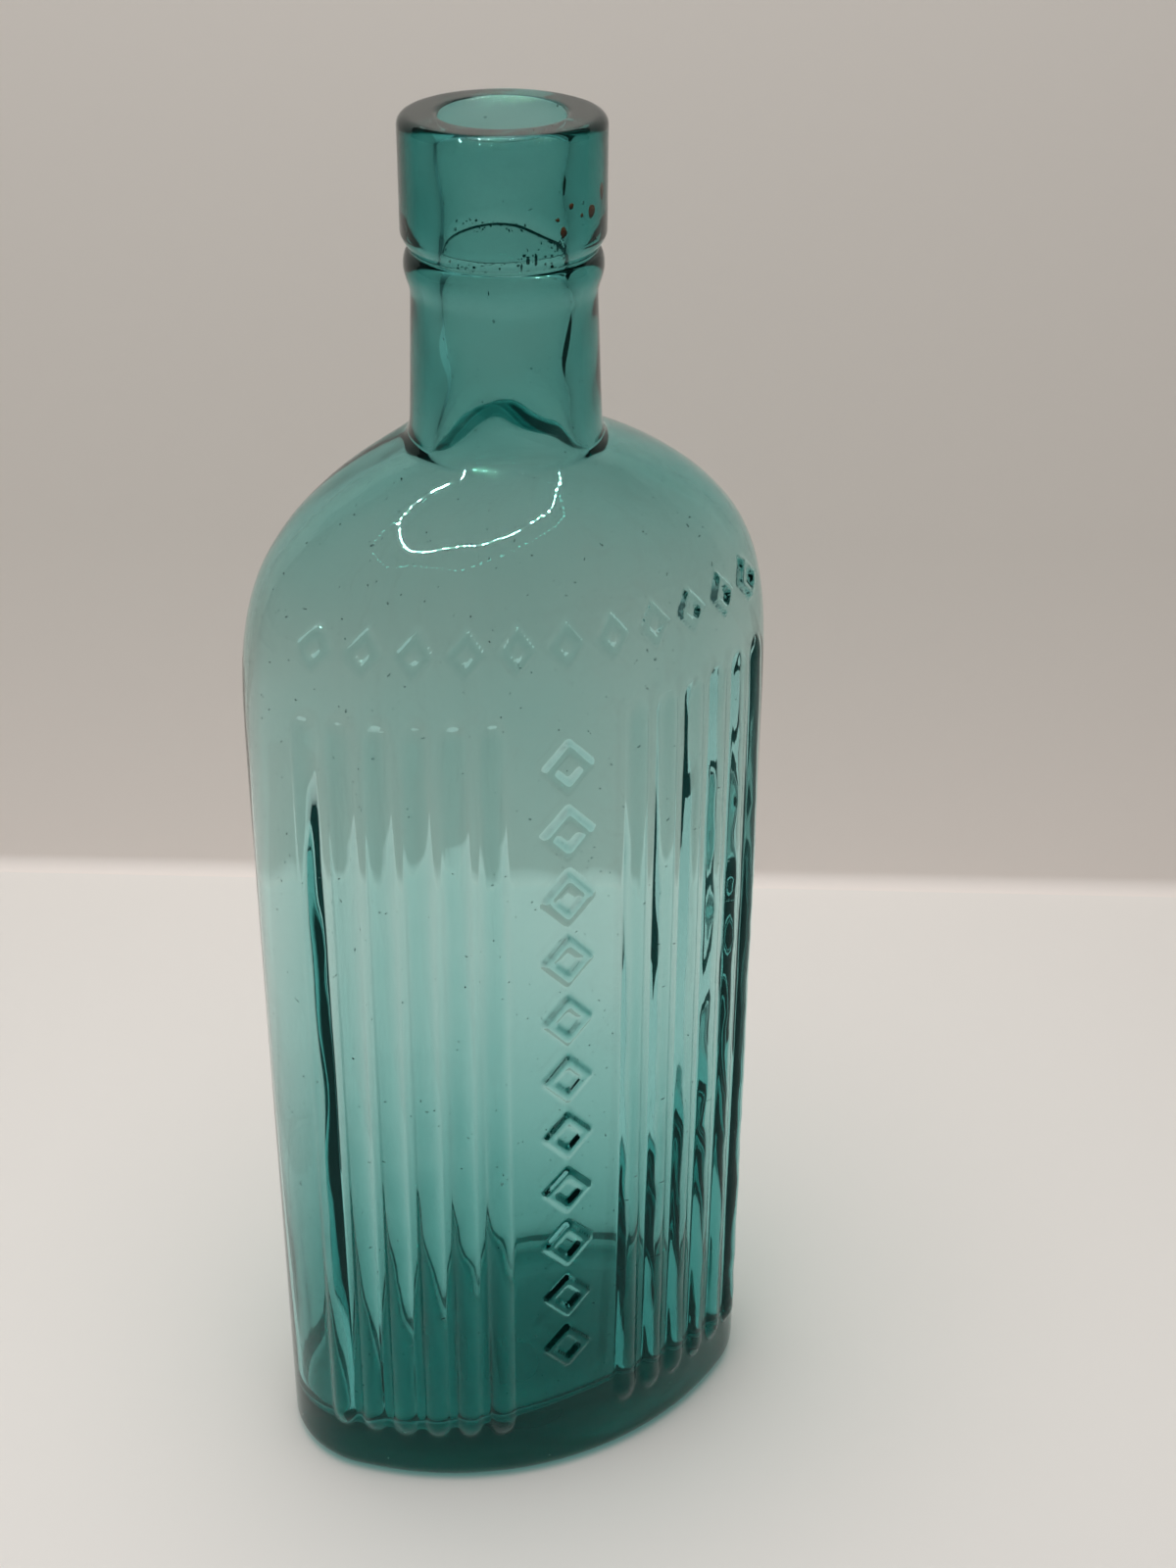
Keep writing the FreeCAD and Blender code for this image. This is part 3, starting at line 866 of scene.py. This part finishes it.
    def skin(self) -> bpy.types.Object:
        """Builds the closed skin without its relief.

        Returns:
            The object. Its points carry their distance along the front, their ripple, and whether they lie
            inside.
        """
        rings = self.outside() + self.finish() + self.inside()
        turns = {surface: self.columns(surface) for surface in Surface}
        knot_turns, knot_distances = self.oval.knots()
        loops = [self.loop(ring, turns[ring.surface]) for ring in rings]
        starts = np.cumsum([1] + [len(loop) for loop in loops])
        floor_middle = [*loops[-1].mean(axis=0)]
        points = np.vstack(([[0.0, 0.0, self.push_up]], *loops, [floor_middle]))
        first = len(loops[0])
        faces = [(0, 1 + (column + 1) % first, 1 + column) for column in range(first)]
        for number in range(len(rings) - 1):
            lower = turns[rings[number].surface]
            upper = turns[rings[number + 1].surface]
            faces += self.bridge(int(starts[number]), lower, int(starts[number + 1]), upper)
        last = len(loops[-1])
        final = int(starts[-2])
        pole = len(points) - 1
        faces += [(final + column, final + (column + 1) % last, pole) for column in range(last)]
        along = np.full(len(points), 1.0)
        ripple = np.zeros(len(points))
        inside = np.zeros(len(points))
        for ring, loop, start in zip(rings, loops, starts):
            stretch = slice(int(start), int(start) + len(loop))
            ripple[stretch] = self.ripple_depth[ring.surface] * MM
            inside[stretch] = ring.surface in (Surface.BORE, Surface.CAVITY)
            if ring.surface is Surface.WALL and ring.height > self.heel_radius:
                along[stretch] = np.interp(turns[ring.surface], knot_turns, knot_distances) * MM
                wrinkle = np.interp(ring.height, self.wrinkle_levels, (0.0, self.wrinkle_depth))
                ripple[stretch] += wrinkle * MM
            elif ring.surface is Surface.WALL:
                worn = np.interp(ring.share, self.base_shares, (self.base_roughness, 0.0))
                ripple[stretch] += worn * MM
        piece = new_piece("bottle_glass", points, faces)
        ripple[0] = self.base_roughness * MM
        for name, values in (("along", along), ("ripple", ripple), ("inside", inside)):
            piece.data.attributes.new(name, "FLOAT", "POINT").data.foreach_set("value", values)
        return piece

    def refine_panel(self, piece: bpy.types.Object) -> None:
        """Cuts the wall finer, upwards, where the column of lozenges stands.

        Args:
            piece: The skin without its relief.
        """
        reach = (self.column.width / 2 + self.panel_margin) * MM
        low = (self.column_foot - self.column.height) * MM
        high = (self.column_foot + self.column_count * self.column_pitch) * MM
        shell = bmesh.new()
        shell.from_mesh(piece.data)
        along = shell.verts.layers.float["along"]
        chosen = []
        for edge in shell.edges:
            start, end = edge.verts
            upright = abs(start.co.z - end.co.z) > self.panel_least * MM
            near = abs(start[along]) < reach and abs(end[along]) < reach
            if upright and near and low < start.co.z < high:
                chosen.append(edge)
        bmesh.ops.subdivide_edges(shell, edges=chosen, cuts=self.panel_cuts, use_grid_fill=True)
        shell.to_mesh(piece.data)
        shell.free()

    def raise_relief(self, piece: bpy.types.Object, glass: bpy.types.Material) -> None:
        """Raises the ribs and the lozenges and ripples the skin.

        Args:
            piece: The skin, cut fine enough for its relief.
            glass: Material of the skin.
        """
        values = {
            **self.ribs.inputs(), **self.column.inputs(), **self.row.inputs(),
            "Column Foot": self.column_foot * MM, "Column Pitch": self.column_pitch * MM,
            "Column Last": self.column_count - 1.0, "Row Level": self.row_level * MM,
            "Row Pitch": self.row_pitch * MM, "Row Last": self.row_count - 1.0,
            "Ripple Scale": 1 / (self.ripple_size * MM), "Ripple Seed": self.ripple_seed, "Glass": glass}
        tree, known = new_tree("raised_relief", values)
        place = add_node(tree, "GeometryNodeInputPosition").outputs[0]
        normal = add_node(tree, "GeometryNodeInputNormal").outputs[0]
        known["place"] = place
        known["along"] = add_node(tree, "GeometryNodeInputNamedAttribute", ["along"]).outputs[0]
        known["ripple"] = add_node(tree, "GeometryNodeInputNamedAttribute", ["ripple"]).outputs[0]
        known["height"] = add_node(tree, "ShaderNodeSeparateXYZ", [place]).outputs[2]
        grow(tree, known, self.ribs.steps())
        grow(tree, known, [
            ("up column", MATH, {"operation": "SUBTRACT"}, ["height", "Column Foot"]),
            ("column share", MATH, {"operation": "DIVIDE"}, ["up column", "Column Pitch"]),
            ("column whole", MATH, {"operation": "ROUND"}, ["column share"]),
            ("column from first", MATH, {"operation": "MAXIMUM"}, ["column whole", 0.0]),
            ("column number", MATH, {"operation": "MINIMUM"}, ["column from first", "Column Last"]),
            ("column middle", MATH, {"operation": "MULTIPLY"}, ["column number", "Column Pitch"]),
            ("column up", MATH, {"operation": "SUBTRACT"}, ["up column", "column middle"]),
            ("row share", MATH, {"operation": "DIVIDE"}, ["along", "Row Pitch"]),
            ("row whole", MATH, {"operation": "ROUND"}, ["row share"]),
            ("row not over", MATH, {"operation": "MINIMUM"}, ["row whole", "Row Last"]),
            ("row first", MATH, {"operation": "MULTIPLY"}, ["Row Last", -1.0]),
            ("row number", MATH, {"operation": "MAXIMUM"}, ["row not over", "row first"]),
            ("row middle", MATH, {"operation": "MULTIPLY"}, ["row number", "Row Pitch"]),
            ("row across", MATH, {"operation": "SUBTRACT"}, ["along", "row middle"]),
            ("row up", MATH, {"operation": "SUBTRACT"}, ["height", "Row Level"])])
        grow(tree, known, self.column.steps("along", "column up"))
        grow(tree, known, self.row.steps("row across", "row up"))
        upright = add_node(tree, "ShaderNodeVectorMath", [place, (1.0, 1.0, self.ripple_stretch)],
                           operation="MULTIPLY").outputs[0]
        known["noise"] = add_node(tree, "ShaderNodeTexNoise", {
            "Vector": upright, "W": known["Ripple Seed"], "Scale": known["Ripple Scale"], "Detail": 2.5},
            noise_dimensions="4D").outputs[0]
        grow(tree, known, [
            ("swing", MATH, {"operation": "SUBTRACT"}, ["noise", self.ripple_middle]),
            ("wave", MATH, {"operation": "MULTIPLY"}, ["swing", "ripple"]),
            ("lozenges", MATH, {"operation": "ADD"}, ["Column rise", "Row rise"]),
            ("relief", MATH, {"operation": "ADD"}, ["rib rise", "lozenges"]),
            ("rise", MATH, {"operation": "ADD"}, ["relief", "wave"])])
        offset = add_node(tree, "ShaderNodeVectorMath", {"Vector": normal, "Scale": known["rise"]},
                          operation="SCALE").outputs[0]
        moved = add_node(tree, "GeometryNodeSetPosition", {"Geometry": known["Geometry"], "Offset": offset})
        close_tree(tree, moved.outputs[0], known["Glass"])
        apply_tree(piece, tree, values)

    def blow_seeds(self, piece: bpy.types.Object, glass: bpy.types.Material) -> None:
        """Scatters drawn-out gas seeds inside the glass, as inward faces of the same skin.

        Args:
            piece: The finished skin.
            glass: Material of the skin and of its seeds.
        """
        values = {
            "Density": self.seeds_per_square_metre, "Seed": self.seed_random, "Radius": self.seed_radius * MM,
            "Shallow": self.seed_depths[0] * MM, "Deep": self.seed_depths[1] * MM, "Glass": glass}
        tree, known = new_tree("gas_seeds", values)
        inside = add_node(tree, "GeometryNodeInputNamedAttribute", ["inside"]).outputs[0]
        outside = add_node(tree, MATH, [inside, 0.5], operation="LESS_THAN").outputs[0]
        spots = add_node(tree, "GeometryNodeDistributePointsOnFaces", {
            "Mesh": known["Geometry"], "Selection": outside, "Density": known["Density"],
            "Seed": known["Seed"]}).outputs
        depth = add_node(tree, "FunctionNodeRandomValue", {
            2: known["Shallow"], 3: known["Deep"], "Seed": 1}, data_type="FLOAT").outputs[1]
        inward = add_node(tree, MATH, [depth, -1.0], operation="MULTIPLY").outputs[0]
        offset = add_node(tree, "ShaderNodeVectorMath", {"Vector": spots["Normal"], "Scale": inward},
                          operation="SCALE").outputs[0]
        sunk = add_node(tree, "GeometryNodeSetPosition", {"Geometry": spots["Points"], "Offset": offset})
        bubble = add_node(tree, "GeometryNodeMeshIcoSphere", {"Radius": known["Radius"], "Subdivisions": 1})
        hollow = add_node(tree, "GeometryNodeFlipFaces", [bubble.outputs[0]])
        strewn = strew(tree, sunk.outputs[0], spots["Rotation"], hollow.outputs[0], self.seed_stretches)
        seeds = add_node(tree, "GeometryNodeRealizeInstances", [strewn])
        joined = add_node(tree, "GeometryNodeJoinGeometry", [[known["Geometry"], seeds.outputs[0]]])
        smooth = add_node(tree, "GeometryNodeSetShadeSmooth", [joined.outputs[0]])
        close_tree(tree, smooth.outputs[0], known["Glass"])
        apply_tree(piece, tree, values)

    def build(self) -> bpy.types.Object:
        """Builds and dresses the bottle.

        Returns:
            The finished piece, which stands in for the three CAD nodes.
        """
        glass = BottleGlass().material()
        piece = self.skin()
        piece.data.materials.append(glass)
        self.refine_panel(piece)
        self.raise_relief(piece, glass)
        self.blow_seeds(piece, glass)
        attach(piece, "root")
        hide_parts("blown_body", "string_ring", "collar")
        return piece


@dataclass
class IronGrains:
    """Stray grains of iron scale.

    Dark specks lie on the inside wall, rusted flakes under the collar's skin, and dark flecks along the
    ragged joint of neck and collar.
    """

    specks_per_square_metre: float = 30000.0
    speck_radius: float = 0.12
    speck_random: int = 5
    speck_stretches: tuple = ((0.35, 0.3, 0.2), (1.5, 0.8, 0.4))
    flake_spots: tuple = (
        (49.2, 191.75), (37.2, 190.1), (28.3, 190.0), (20.2, 191.4), (11.2, 190.1), (15.0, 188.5))
    flake_halves: tuple = (
        (0.7, 1.25), (0.85, 1.0), (0.3, 0.3), (0.42, 0.42), (0.35, 0.3), (0.55, 0.85))
    flake_half_depth: float = 0.12
    flake_reach: float = 12.3
    flake_jitter: float = 0.35
    flake_random: int = 8
    fleck_count: int = 120
    fleck_reach: float = 7.55
    fleck_half: float = 0.19
    fleck_spread: tuple = (0.4, 1.6)
    fleck_scatter: float = 0.35

    def scatter(self, glass: bpy.types.Object) -> bpy.types.Object:
        """Scatters the specks over the inside wall of the bottle.

        Args:
            glass: The finished glass, with its inside marked.
        Returns:
            The specks as one piece.
        """
        specks = bpy.data.objects.new("iron_specks", glass.data.copy())
        bpy.context.scene.collection.objects.link(specks)
        burnt = IronRust("iron_specks_burnt", light="#2A2320", dark="#0E0C0B").material()
        values = {
            "Density": self.specks_per_square_metre, "Seed": self.speck_random,
            "Radius": self.speck_radius * MM, "Iron": burnt}
        tree, known = new_tree("scattered_specks", values)
        inside = add_node(tree, "GeometryNodeInputNamedAttribute", ["inside"]).outputs[0]
        chosen = add_node(tree, MATH, [inside, 0.5], operation="GREATER_THAN").outputs[0]
        spots = add_node(tree, "GeometryNodeDistributePointsOnFaces", {
            "Mesh": known["Geometry"], "Selection": chosen, "Density": known["Density"],
            "Seed": known["Seed"]}).outputs
        grain = add_node(tree, "GeometryNodeMeshIcoSphere", {"Radius": known["Radius"], "Subdivisions": 1})
        strewn = strew(tree, spots["Points"], spots["Rotation"], grain.outputs[0], self.speck_stretches)
        close_tree(tree, strewn, known["Iron"])
        apply_tree(specks, tree, values)
        return specks

    def flakes(self) -> bpy.types.Object:
        """Sets the rusted flakes into the right-hand side of the collar and returns them as one piece."""
        places = [(math.radians(turn), self.flake_reach, level) for turn, level in self.flake_spots]
        return self.grains("rust_flakes", places, self.flake_halves, 2, IronRust().material())

    def flecks(self, bottle: GlassBottle) -> bpy.types.Object:
        """Strews dark flecks along the ragged joint of neck and collar.

        Args:
            bottle: The bottle's sizes.
        Returns:
            The flecks as one piece.
        """
        chance = np.random.default_rng(self.flake_random + 1)
        turns = np.sort(chance.uniform(-math.pi, math.pi, self.fleck_count))
        strays = chance.normal(0.0, self.fleck_scatter, self.fleck_count)
        levels = bottle.seam_level + bottle.ragged(turns) + strays
        places = [(turn, self.fleck_reach, level) for turn, level in zip(turns, levels)]
        halves = self.fleck_half * chance.uniform(*self.fleck_spread, (self.fleck_count, 2))
        burnt = IronRust("iron_flecks_burnt", light="#22302E", dark="#0C1211").material()
        return self.grains("joint_flecks", places, halves, 1, burnt)

    def grains(self, name: str, places: list, halves: tuple | np.ndarray, rounding: int,
               material: bpy.types.Material) -> bpy.types.Object:
        """Makes a piece from flat, uneven grains that face outwards.

        Args:
            name: Name of the piece.
            places: Turn, distance from the axis and level of each grain.
            halves: Half width and half height of each grain.
            rounding: Subdivisions of each grain.
            material: Material of the grains.
        Returns:
            The piece, linked to the scene.
        """
        jitter = np.random.default_rng(self.flake_random)
        shell = bmesh.new()
        for (turn, reach, level), (half_width, half_height) in zip(places, halves):
            middle = Vector((math.sin(turn) * reach, -math.cos(turn) * reach, level)) * MM
            halved = Matrix.Diagonal((half_width, self.flake_half_depth, half_height, 1.0))
            flat = Matrix.Rotation(turn, 4, "Z") @ halved
            made = bmesh.ops.create_icosphere(
                shell, subdivisions=rounding, radius=MM, matrix=Matrix.Translation(middle) @ flat)
            for corner in made["verts"]:
                corner.co = middle + (corner.co - middle) * (1 - self.flake_jitter * jitter.random())
        mesh = bpy.data.meshes.new(name)
        shell.to_mesh(mesh)
        shell.free()
        mesh.shade_smooth()
        mesh.materials.append(material)
        piece = bpy.data.objects.new(name, mesh)
        bpy.context.scene.collection.objects.link(piece)
        return piece

    def build(self, bottle: GlassBottle, glass: bpy.types.Object) -> list[bpy.types.Object]:
        """Builds all kinds of grain and lets them ride with the bottle.

        Args:
            bottle: The bottle's sizes.
            glass: The finished glass.
        Returns:
            The specks, the flakes and the flecks.
        """
        pieces = [self.scatter(glass), self.flakes(), self.flecks(bottle)]
        for piece in pieces:
            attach(piece, "root")
        return pieces


@dataclass
class PaperSweep:
    """Bench paper under the bottle and a second sheet that bends up behind it, with painted bounce light at
    its foot.

    The fibres of the paper are drawn coarser than real ones, which would be too fine to see.
    """

    floor_colour: str = "#E9E5E0"
    wall_colour: str = "#E0D9D2"
    # Painted bounce light: the wall is painted lighter towards its foot, standing in for light thrown up by
    # the bench
    wall_bounce_painted_colour: str = "#EFE7E1"
    bounce_painted_height: float = 80.0
    wall_distance: float = 148.0
    wall_turn: float = -22.9
    wall_half_width: float = 420.0
    wall_height: float = 330.0
    bend_radius: float = 3.0
    floor_reach: float = 1500.0
    floor_gap: float = 0.05
    bend_steps: int = 8
    fibres_per_metre: float = 900.0
    fibre_depth: float = 0.05
    fibre_strength: float = 0.15

    def paper(self, name: str, colour: str, bounce_painted_colour: str) -> bpy.types.Material:
        """Builds a matt paper, painted lighter towards its foot as painted bounce light.

        Args:
            name: Name of the material.
            colour: Colour of the sheet.
            bounce_painted_colour: Colour at its foot, a painted bounce light standing in for the light the
                bench throws on it.
        Returns:
            A matt material with faint fibres and painted bounce light at its foot.
        """
        material, tree = new_material(name)
        place = add_node(tree, "ShaderNodeTexCoord").outputs["Object"]
        fibre = add_node(tree, "ShaderNodeTexNoise", {
            "Vector": place, "Scale": self.fibres_per_metre, "Detail": 3.0})
        bump = add_node(tree, "ShaderNodeBump", {
            "Height": fibre.outputs[0], "Strength": self.fibre_strength, "Distance": self.fibre_depth * MM})
        level = add_node(tree, "ShaderNodeSeparateXYZ", [place]).outputs[2]
        # Painted bounce light: the sheet's colour turns lighter towards its foot
        height = add_node(tree, "ShaderNodeMapRange", {
            "Value": level, "From Max": self.bounce_painted_height * MM}).outputs[0]
        tint = add_node(tree, "ShaderNodeMix", {
            0: height, 6: linear(bounce_painted_colour), 7: linear(colour)}, data_type="RGBA").outputs[2]
        surface = add_node(tree, "ShaderNodeBsdfDiffuse", {"Color": tint, "Normal": bump.outputs[0]})
        clear = add_node(tree, "ShaderNodeBsdfTransparent")
        back = add_node(tree, "ShaderNodeNewGeometry").outputs["Backfacing"]
        mix = add_node(tree, "ShaderNodeMixShader", [back, surface.outputs[0], clear.outputs[0]])
        add_node(tree, "ShaderNodeOutputMaterial", {"Surface": mix.outputs[0]})
        return material

    def build(self) -> list[bpy.types.Object]:
        """Lays the floor, stands the wall and returns both."""
        reach = self.floor_reach
        corners = [(-reach, -reach), (reach, -reach), (reach, reach), (-reach, reach)]
        floor = new_piece("paper_floor", [(x, y, -self.floor_gap) for x, y in corners], [(0, 1, 2, 3)])
        floor.data.materials.append(self.paper("bench_paper_white", self.floor_colour, self.floor_colour))
        profile = [(self.wall_distance - self.bend_radius, 0.0)]
        for angle in np.radians(np.linspace(0, 90, self.bend_steps)):
            out = self.wall_distance - self.bend_radius * (1 - math.sin(angle))
            profile.append((out, self.bend_radius * (1 - math.cos(angle))))
        profile.append((self.wall_distance, self.wall_height))
        turn = Matrix.Rotation(math.radians(self.wall_turn), 3, "Z")
        points = []
        for side in (-self.wall_half_width, self.wall_half_width):
            points += [turn @ Vector((side, away, level)) for away, level in profile]
        count = len(profile)
        faces = [(step, step + count, step + count + 1, step + 1) for step in range(count - 1)]
        wall = new_piece("paper_wall", points, faces)
        warm_paper = self.paper("bench_paper_warm_grey", self.wall_colour, self.wall_bounce_painted_colour)
        wall.data.materials.append(warm_paper)
        return [floor, wall]


@dataclass
class Studio:
    """A soft lamp, pale surroundings, lamp beads, dark cards of painted shade seen only through the glass,
    and the camera that took the photograph.
    """

    world_colour: str = "#C8C8C6"
    world_strength: float = 0.2
    lamp_spot: tuple = (-60.0, -60.0, 620.0)
    lamp_size: float = 420.0
    lamp_watts: float = 3.05
    bead_count: int = 60
    bead_size: float = 5.0
    bead_colour: str = "#FFBCB2"
    bead_glow: float = 1900.0
    loop_middle: tuple = (-37.0, -175.0, 450.0)
    loop_radii: tuple = (223.0, 223.0)
    # Painted shade: dark cards that show only in light refracted along one wall of the glass, as dark streaks
    # in it
    flag_colour: str = "#101212"
    most_crossings: float = 2.5
    flag_cards: tuple = (
        ((-270.0, -220.0, 0.5), (180.0, 0.0, 0.0), (0.0, 270.0, 0.0)),
        ((60.0, 25.0, 0.5), (270.0, 0.0, 0.0), (0.0, 120.0, 0.0)),
        ((107.8, 101.0, 0.5), (248.0, -105.0, 0.0), (0.0, 0.0, 60.0)),
        ((105.0, -20.0, 0.5), (225.0, 0.0, 0.0), (0.0, 25.0, 0.0)),
        ((105.0, -110.0, 0.5), (225.0, 0.0, 0.0), (0.0, 35.0, 0.0)))
    focal_px: float = 2353.8
    image_height_px: float = 1600.0
    sensor: float = 36.0
    camera_distance: float = 274.5
    camera_height: float = 267.3
    camera_azimuth: float = -19.085
    camera_yaw: float = -2.216
    camera_pitch: float = 30.035
    camera_roll: float = 0.384
    camera_near: float = 10.0

    def light(self) -> None:
        """Hangs the overhead soft lamp and sets the surroundings."""
        world = bpy.data.worlds.new("pale_room")
        world.use_nodes = True
        background = world.node_tree.nodes["Background"]
        background.inputs["Color"].default_value = linear(self.world_colour)
        background.inputs["Strength"].default_value = self.world_strength
        bpy.context.scene.world = world
        data = bpy.data.lights.new("overhead_softbox", "AREA")
        data.shape = "DISK"
        data.size = self.lamp_size * MM
        data.energy = self.lamp_watts
        lamp = bpy.data.objects.new("overhead_softbox", data)
        lamp.location = Vector(self.lamp_spot) * MM
        lamp.visible_glossy = False
        lamp.visible_transmission = False
        bpy.context.scene.collection.objects.link(lamp)

    def hang_beads(self) -> bpy.types.Object:
        """Hangs a loop of lamp beads overhead, which the glass mirrors as a string of sparks.

        The beads are drawn coarser than the real string, so that their sparks stay apart.

        Returns:
            The beads as one piece.
        """
        points = []
        faces = []
        for number in range(self.bead_count):
            angle = 2 * math.pi * number / self.bead_count
            across = self.loop_radii[0] * math.cos(angle)
            ahead = self.loop_radii[1] * math.sin(angle)
            middle = Vector(self.loop_middle) + Vector((across, ahead, 0.0))
            start = len(points)
            for axis in range(3):
                for side in (-1, 1):
                    corner = middle.copy()
                    corner[axis] += side * self.bead_size
                    points.append(corner)
            for x_corner in (0, 1):
                for y_corner in (2, 3):
                    for z_corner in (4, 5):
                        faces.append((start + x_corner, start + y_corner, start + z_corner))
        loop = new_piece("lamp_beads", points, faces)
        material, tree = new_material("lamp_bead_white")
        matt_bounces = add_node(tree, "ShaderNodeLightPath").outputs["Diffuse Depth"]
        mirrored = add_node(tree, MATH, [matt_bounces, 0.5], operation="LESS_THAN").outputs[0]
        glow = add_node(tree, MATH, [mirrored, self.bead_glow], operation="MULTIPLY").outputs[0]
        emission = add_node(tree, "ShaderNodeEmission", {"Color": linear(self.bead_colour), "Strength": glow})
        add_node(tree, "ShaderNodeOutputMaterial", {"Surface": emission.outputs[0]})
        loop.data.materials.append(material)
        loop.visible_camera = False
        loop.visible_diffuse = False
        loop.visible_shadow = False
        return loop

    def stand_shade_cards(self) -> list[bpy.types.Object]:
        """Sets dark cards beyond both sides as painted shade, which only light that is guided along one wall
        can see.

        Returns:
            The cards.
        """
        # Painted shade: only light refracted along one wall of the glass sees the card dark; light that
        # crossed more glass sees it clear, and all other rays never see it
        material, tree = new_material("black_flag_card")
        surface = add_node(tree, "ShaderNodeBsdfDiffuse", {"Color": linear(self.flag_colour)})
        clear = add_node(tree, "ShaderNodeBsdfTransparent")
        crossings = add_node(tree, "ShaderNodeLightPath").outputs["Transmission Depth"]
        straight = add_node(tree, MATH, [crossings, self.most_crossings], operation="GREATER_THAN").outputs[0]
        mix = add_node(tree, "ShaderNodeMixShader", [straight, surface.outputs[0], clear.outputs[0]])
        add_node(tree, "ShaderNodeOutputMaterial", {"Surface": mix.outputs[0]})
        cards = []
        for number, (corner, side, rise) in enumerate(self.flag_cards):
            start = Vector(corner)
            across = Vector(side)
            up = Vector(rise)
            points = [start, start + across, start + across + up, start + up]
            card = new_piece(f"side_flag_{number + 1}", points, [(0, 1, 2, 3)])
            card.data.materials.append(material)
            card.visible_camera = False
            card.visible_diffuse = False
            card.visible_glossy = False
            card.visible_shadow = False
            cards.append(card)
        return cards

    def place_camera(self) -> None:
        """Stands the camera where the photograph was taken."""
        azimuth = math.radians(self.camera_azimuth)
        heading = azimuth + math.radians(self.camera_yaw)
        pitch = math.radians(self.camera_pitch)
        roll = math.radians(self.camera_roll)
        ahead_flat = Vector((-math.sin(heading), math.cos(heading), 0.0))
        ahead = ahead_flat * math.cos(pitch) - Vector((0.0, 0.0, math.sin(pitch)))
        level = Vector((math.cos(heading), math.sin(heading), 0.0))
        upward = level.cross(ahead)
        right = math.cos(roll) * level + math.sin(roll) * upward
        above = right.cross(ahead)
        data = bpy.data.cameras.new("photo_camera")
        data.sensor_width = self.sensor
        data.lens = self.focal_px / self.image_height_px * self.sensor
        data.clip_start = self.camera_near * MM
        camera = bpy.data.objects.new("photo_camera", data)
        axes = Matrix((right, above, -ahead)).transposed().to_4x4()
        out = Vector((math.sin(azimuth), -math.cos(azimuth), 0.0)) * self.camera_distance
        spot = out + Vector((0.0, 0.0, self.camera_height))
        camera.matrix_world = Matrix.Translation(spot * MM) @ axes
        bpy.context.scene.collection.objects.link(camera)
        bpy.context.scene.camera = camera


def main() -> None:
    """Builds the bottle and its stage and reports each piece."""
    logging.basicConfig(level=logging.INFO, format="%(name)s %(message)s")
    body_low, body_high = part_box("blown_body")
    ring_low, ring_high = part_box("string_ring")
    collar_low, collar_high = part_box("collar")
    bottle = GlassBottle(
        half_width=body_high[0] / MM, half_depth=body_high[1] / MM, top=collar_high[2] / MM,
        ring_bottom=ring_low[2] / MM, ring_top=ring_high[2] / MM, ring_radius=ring_high[0] / MM,
        collar_bottom=collar_low[2] / MM, collar_radius=collar_high[0] / MM, bore_radius=BORE_RADIUS)
    glass = bottle.build()
    pieces = [glass]
    pieces += IronGrains().build(bottle, glass)
    pieces += PaperSweep().build()
    studio = Studio()
    studio.light()
    pieces.append(studio.hang_beads())
    pieces += studio.stand_shade_cards()
    studio.place_camera()
    for piece in pieces:
        LOG.info("%s: %d points, %d faces", piece.name, len(piece.data.vertices), len(piece.data.polygons))
    bpy.context.scene.view_settings.view_transform = "Standard"


if __name__ == "__main__":
    main()
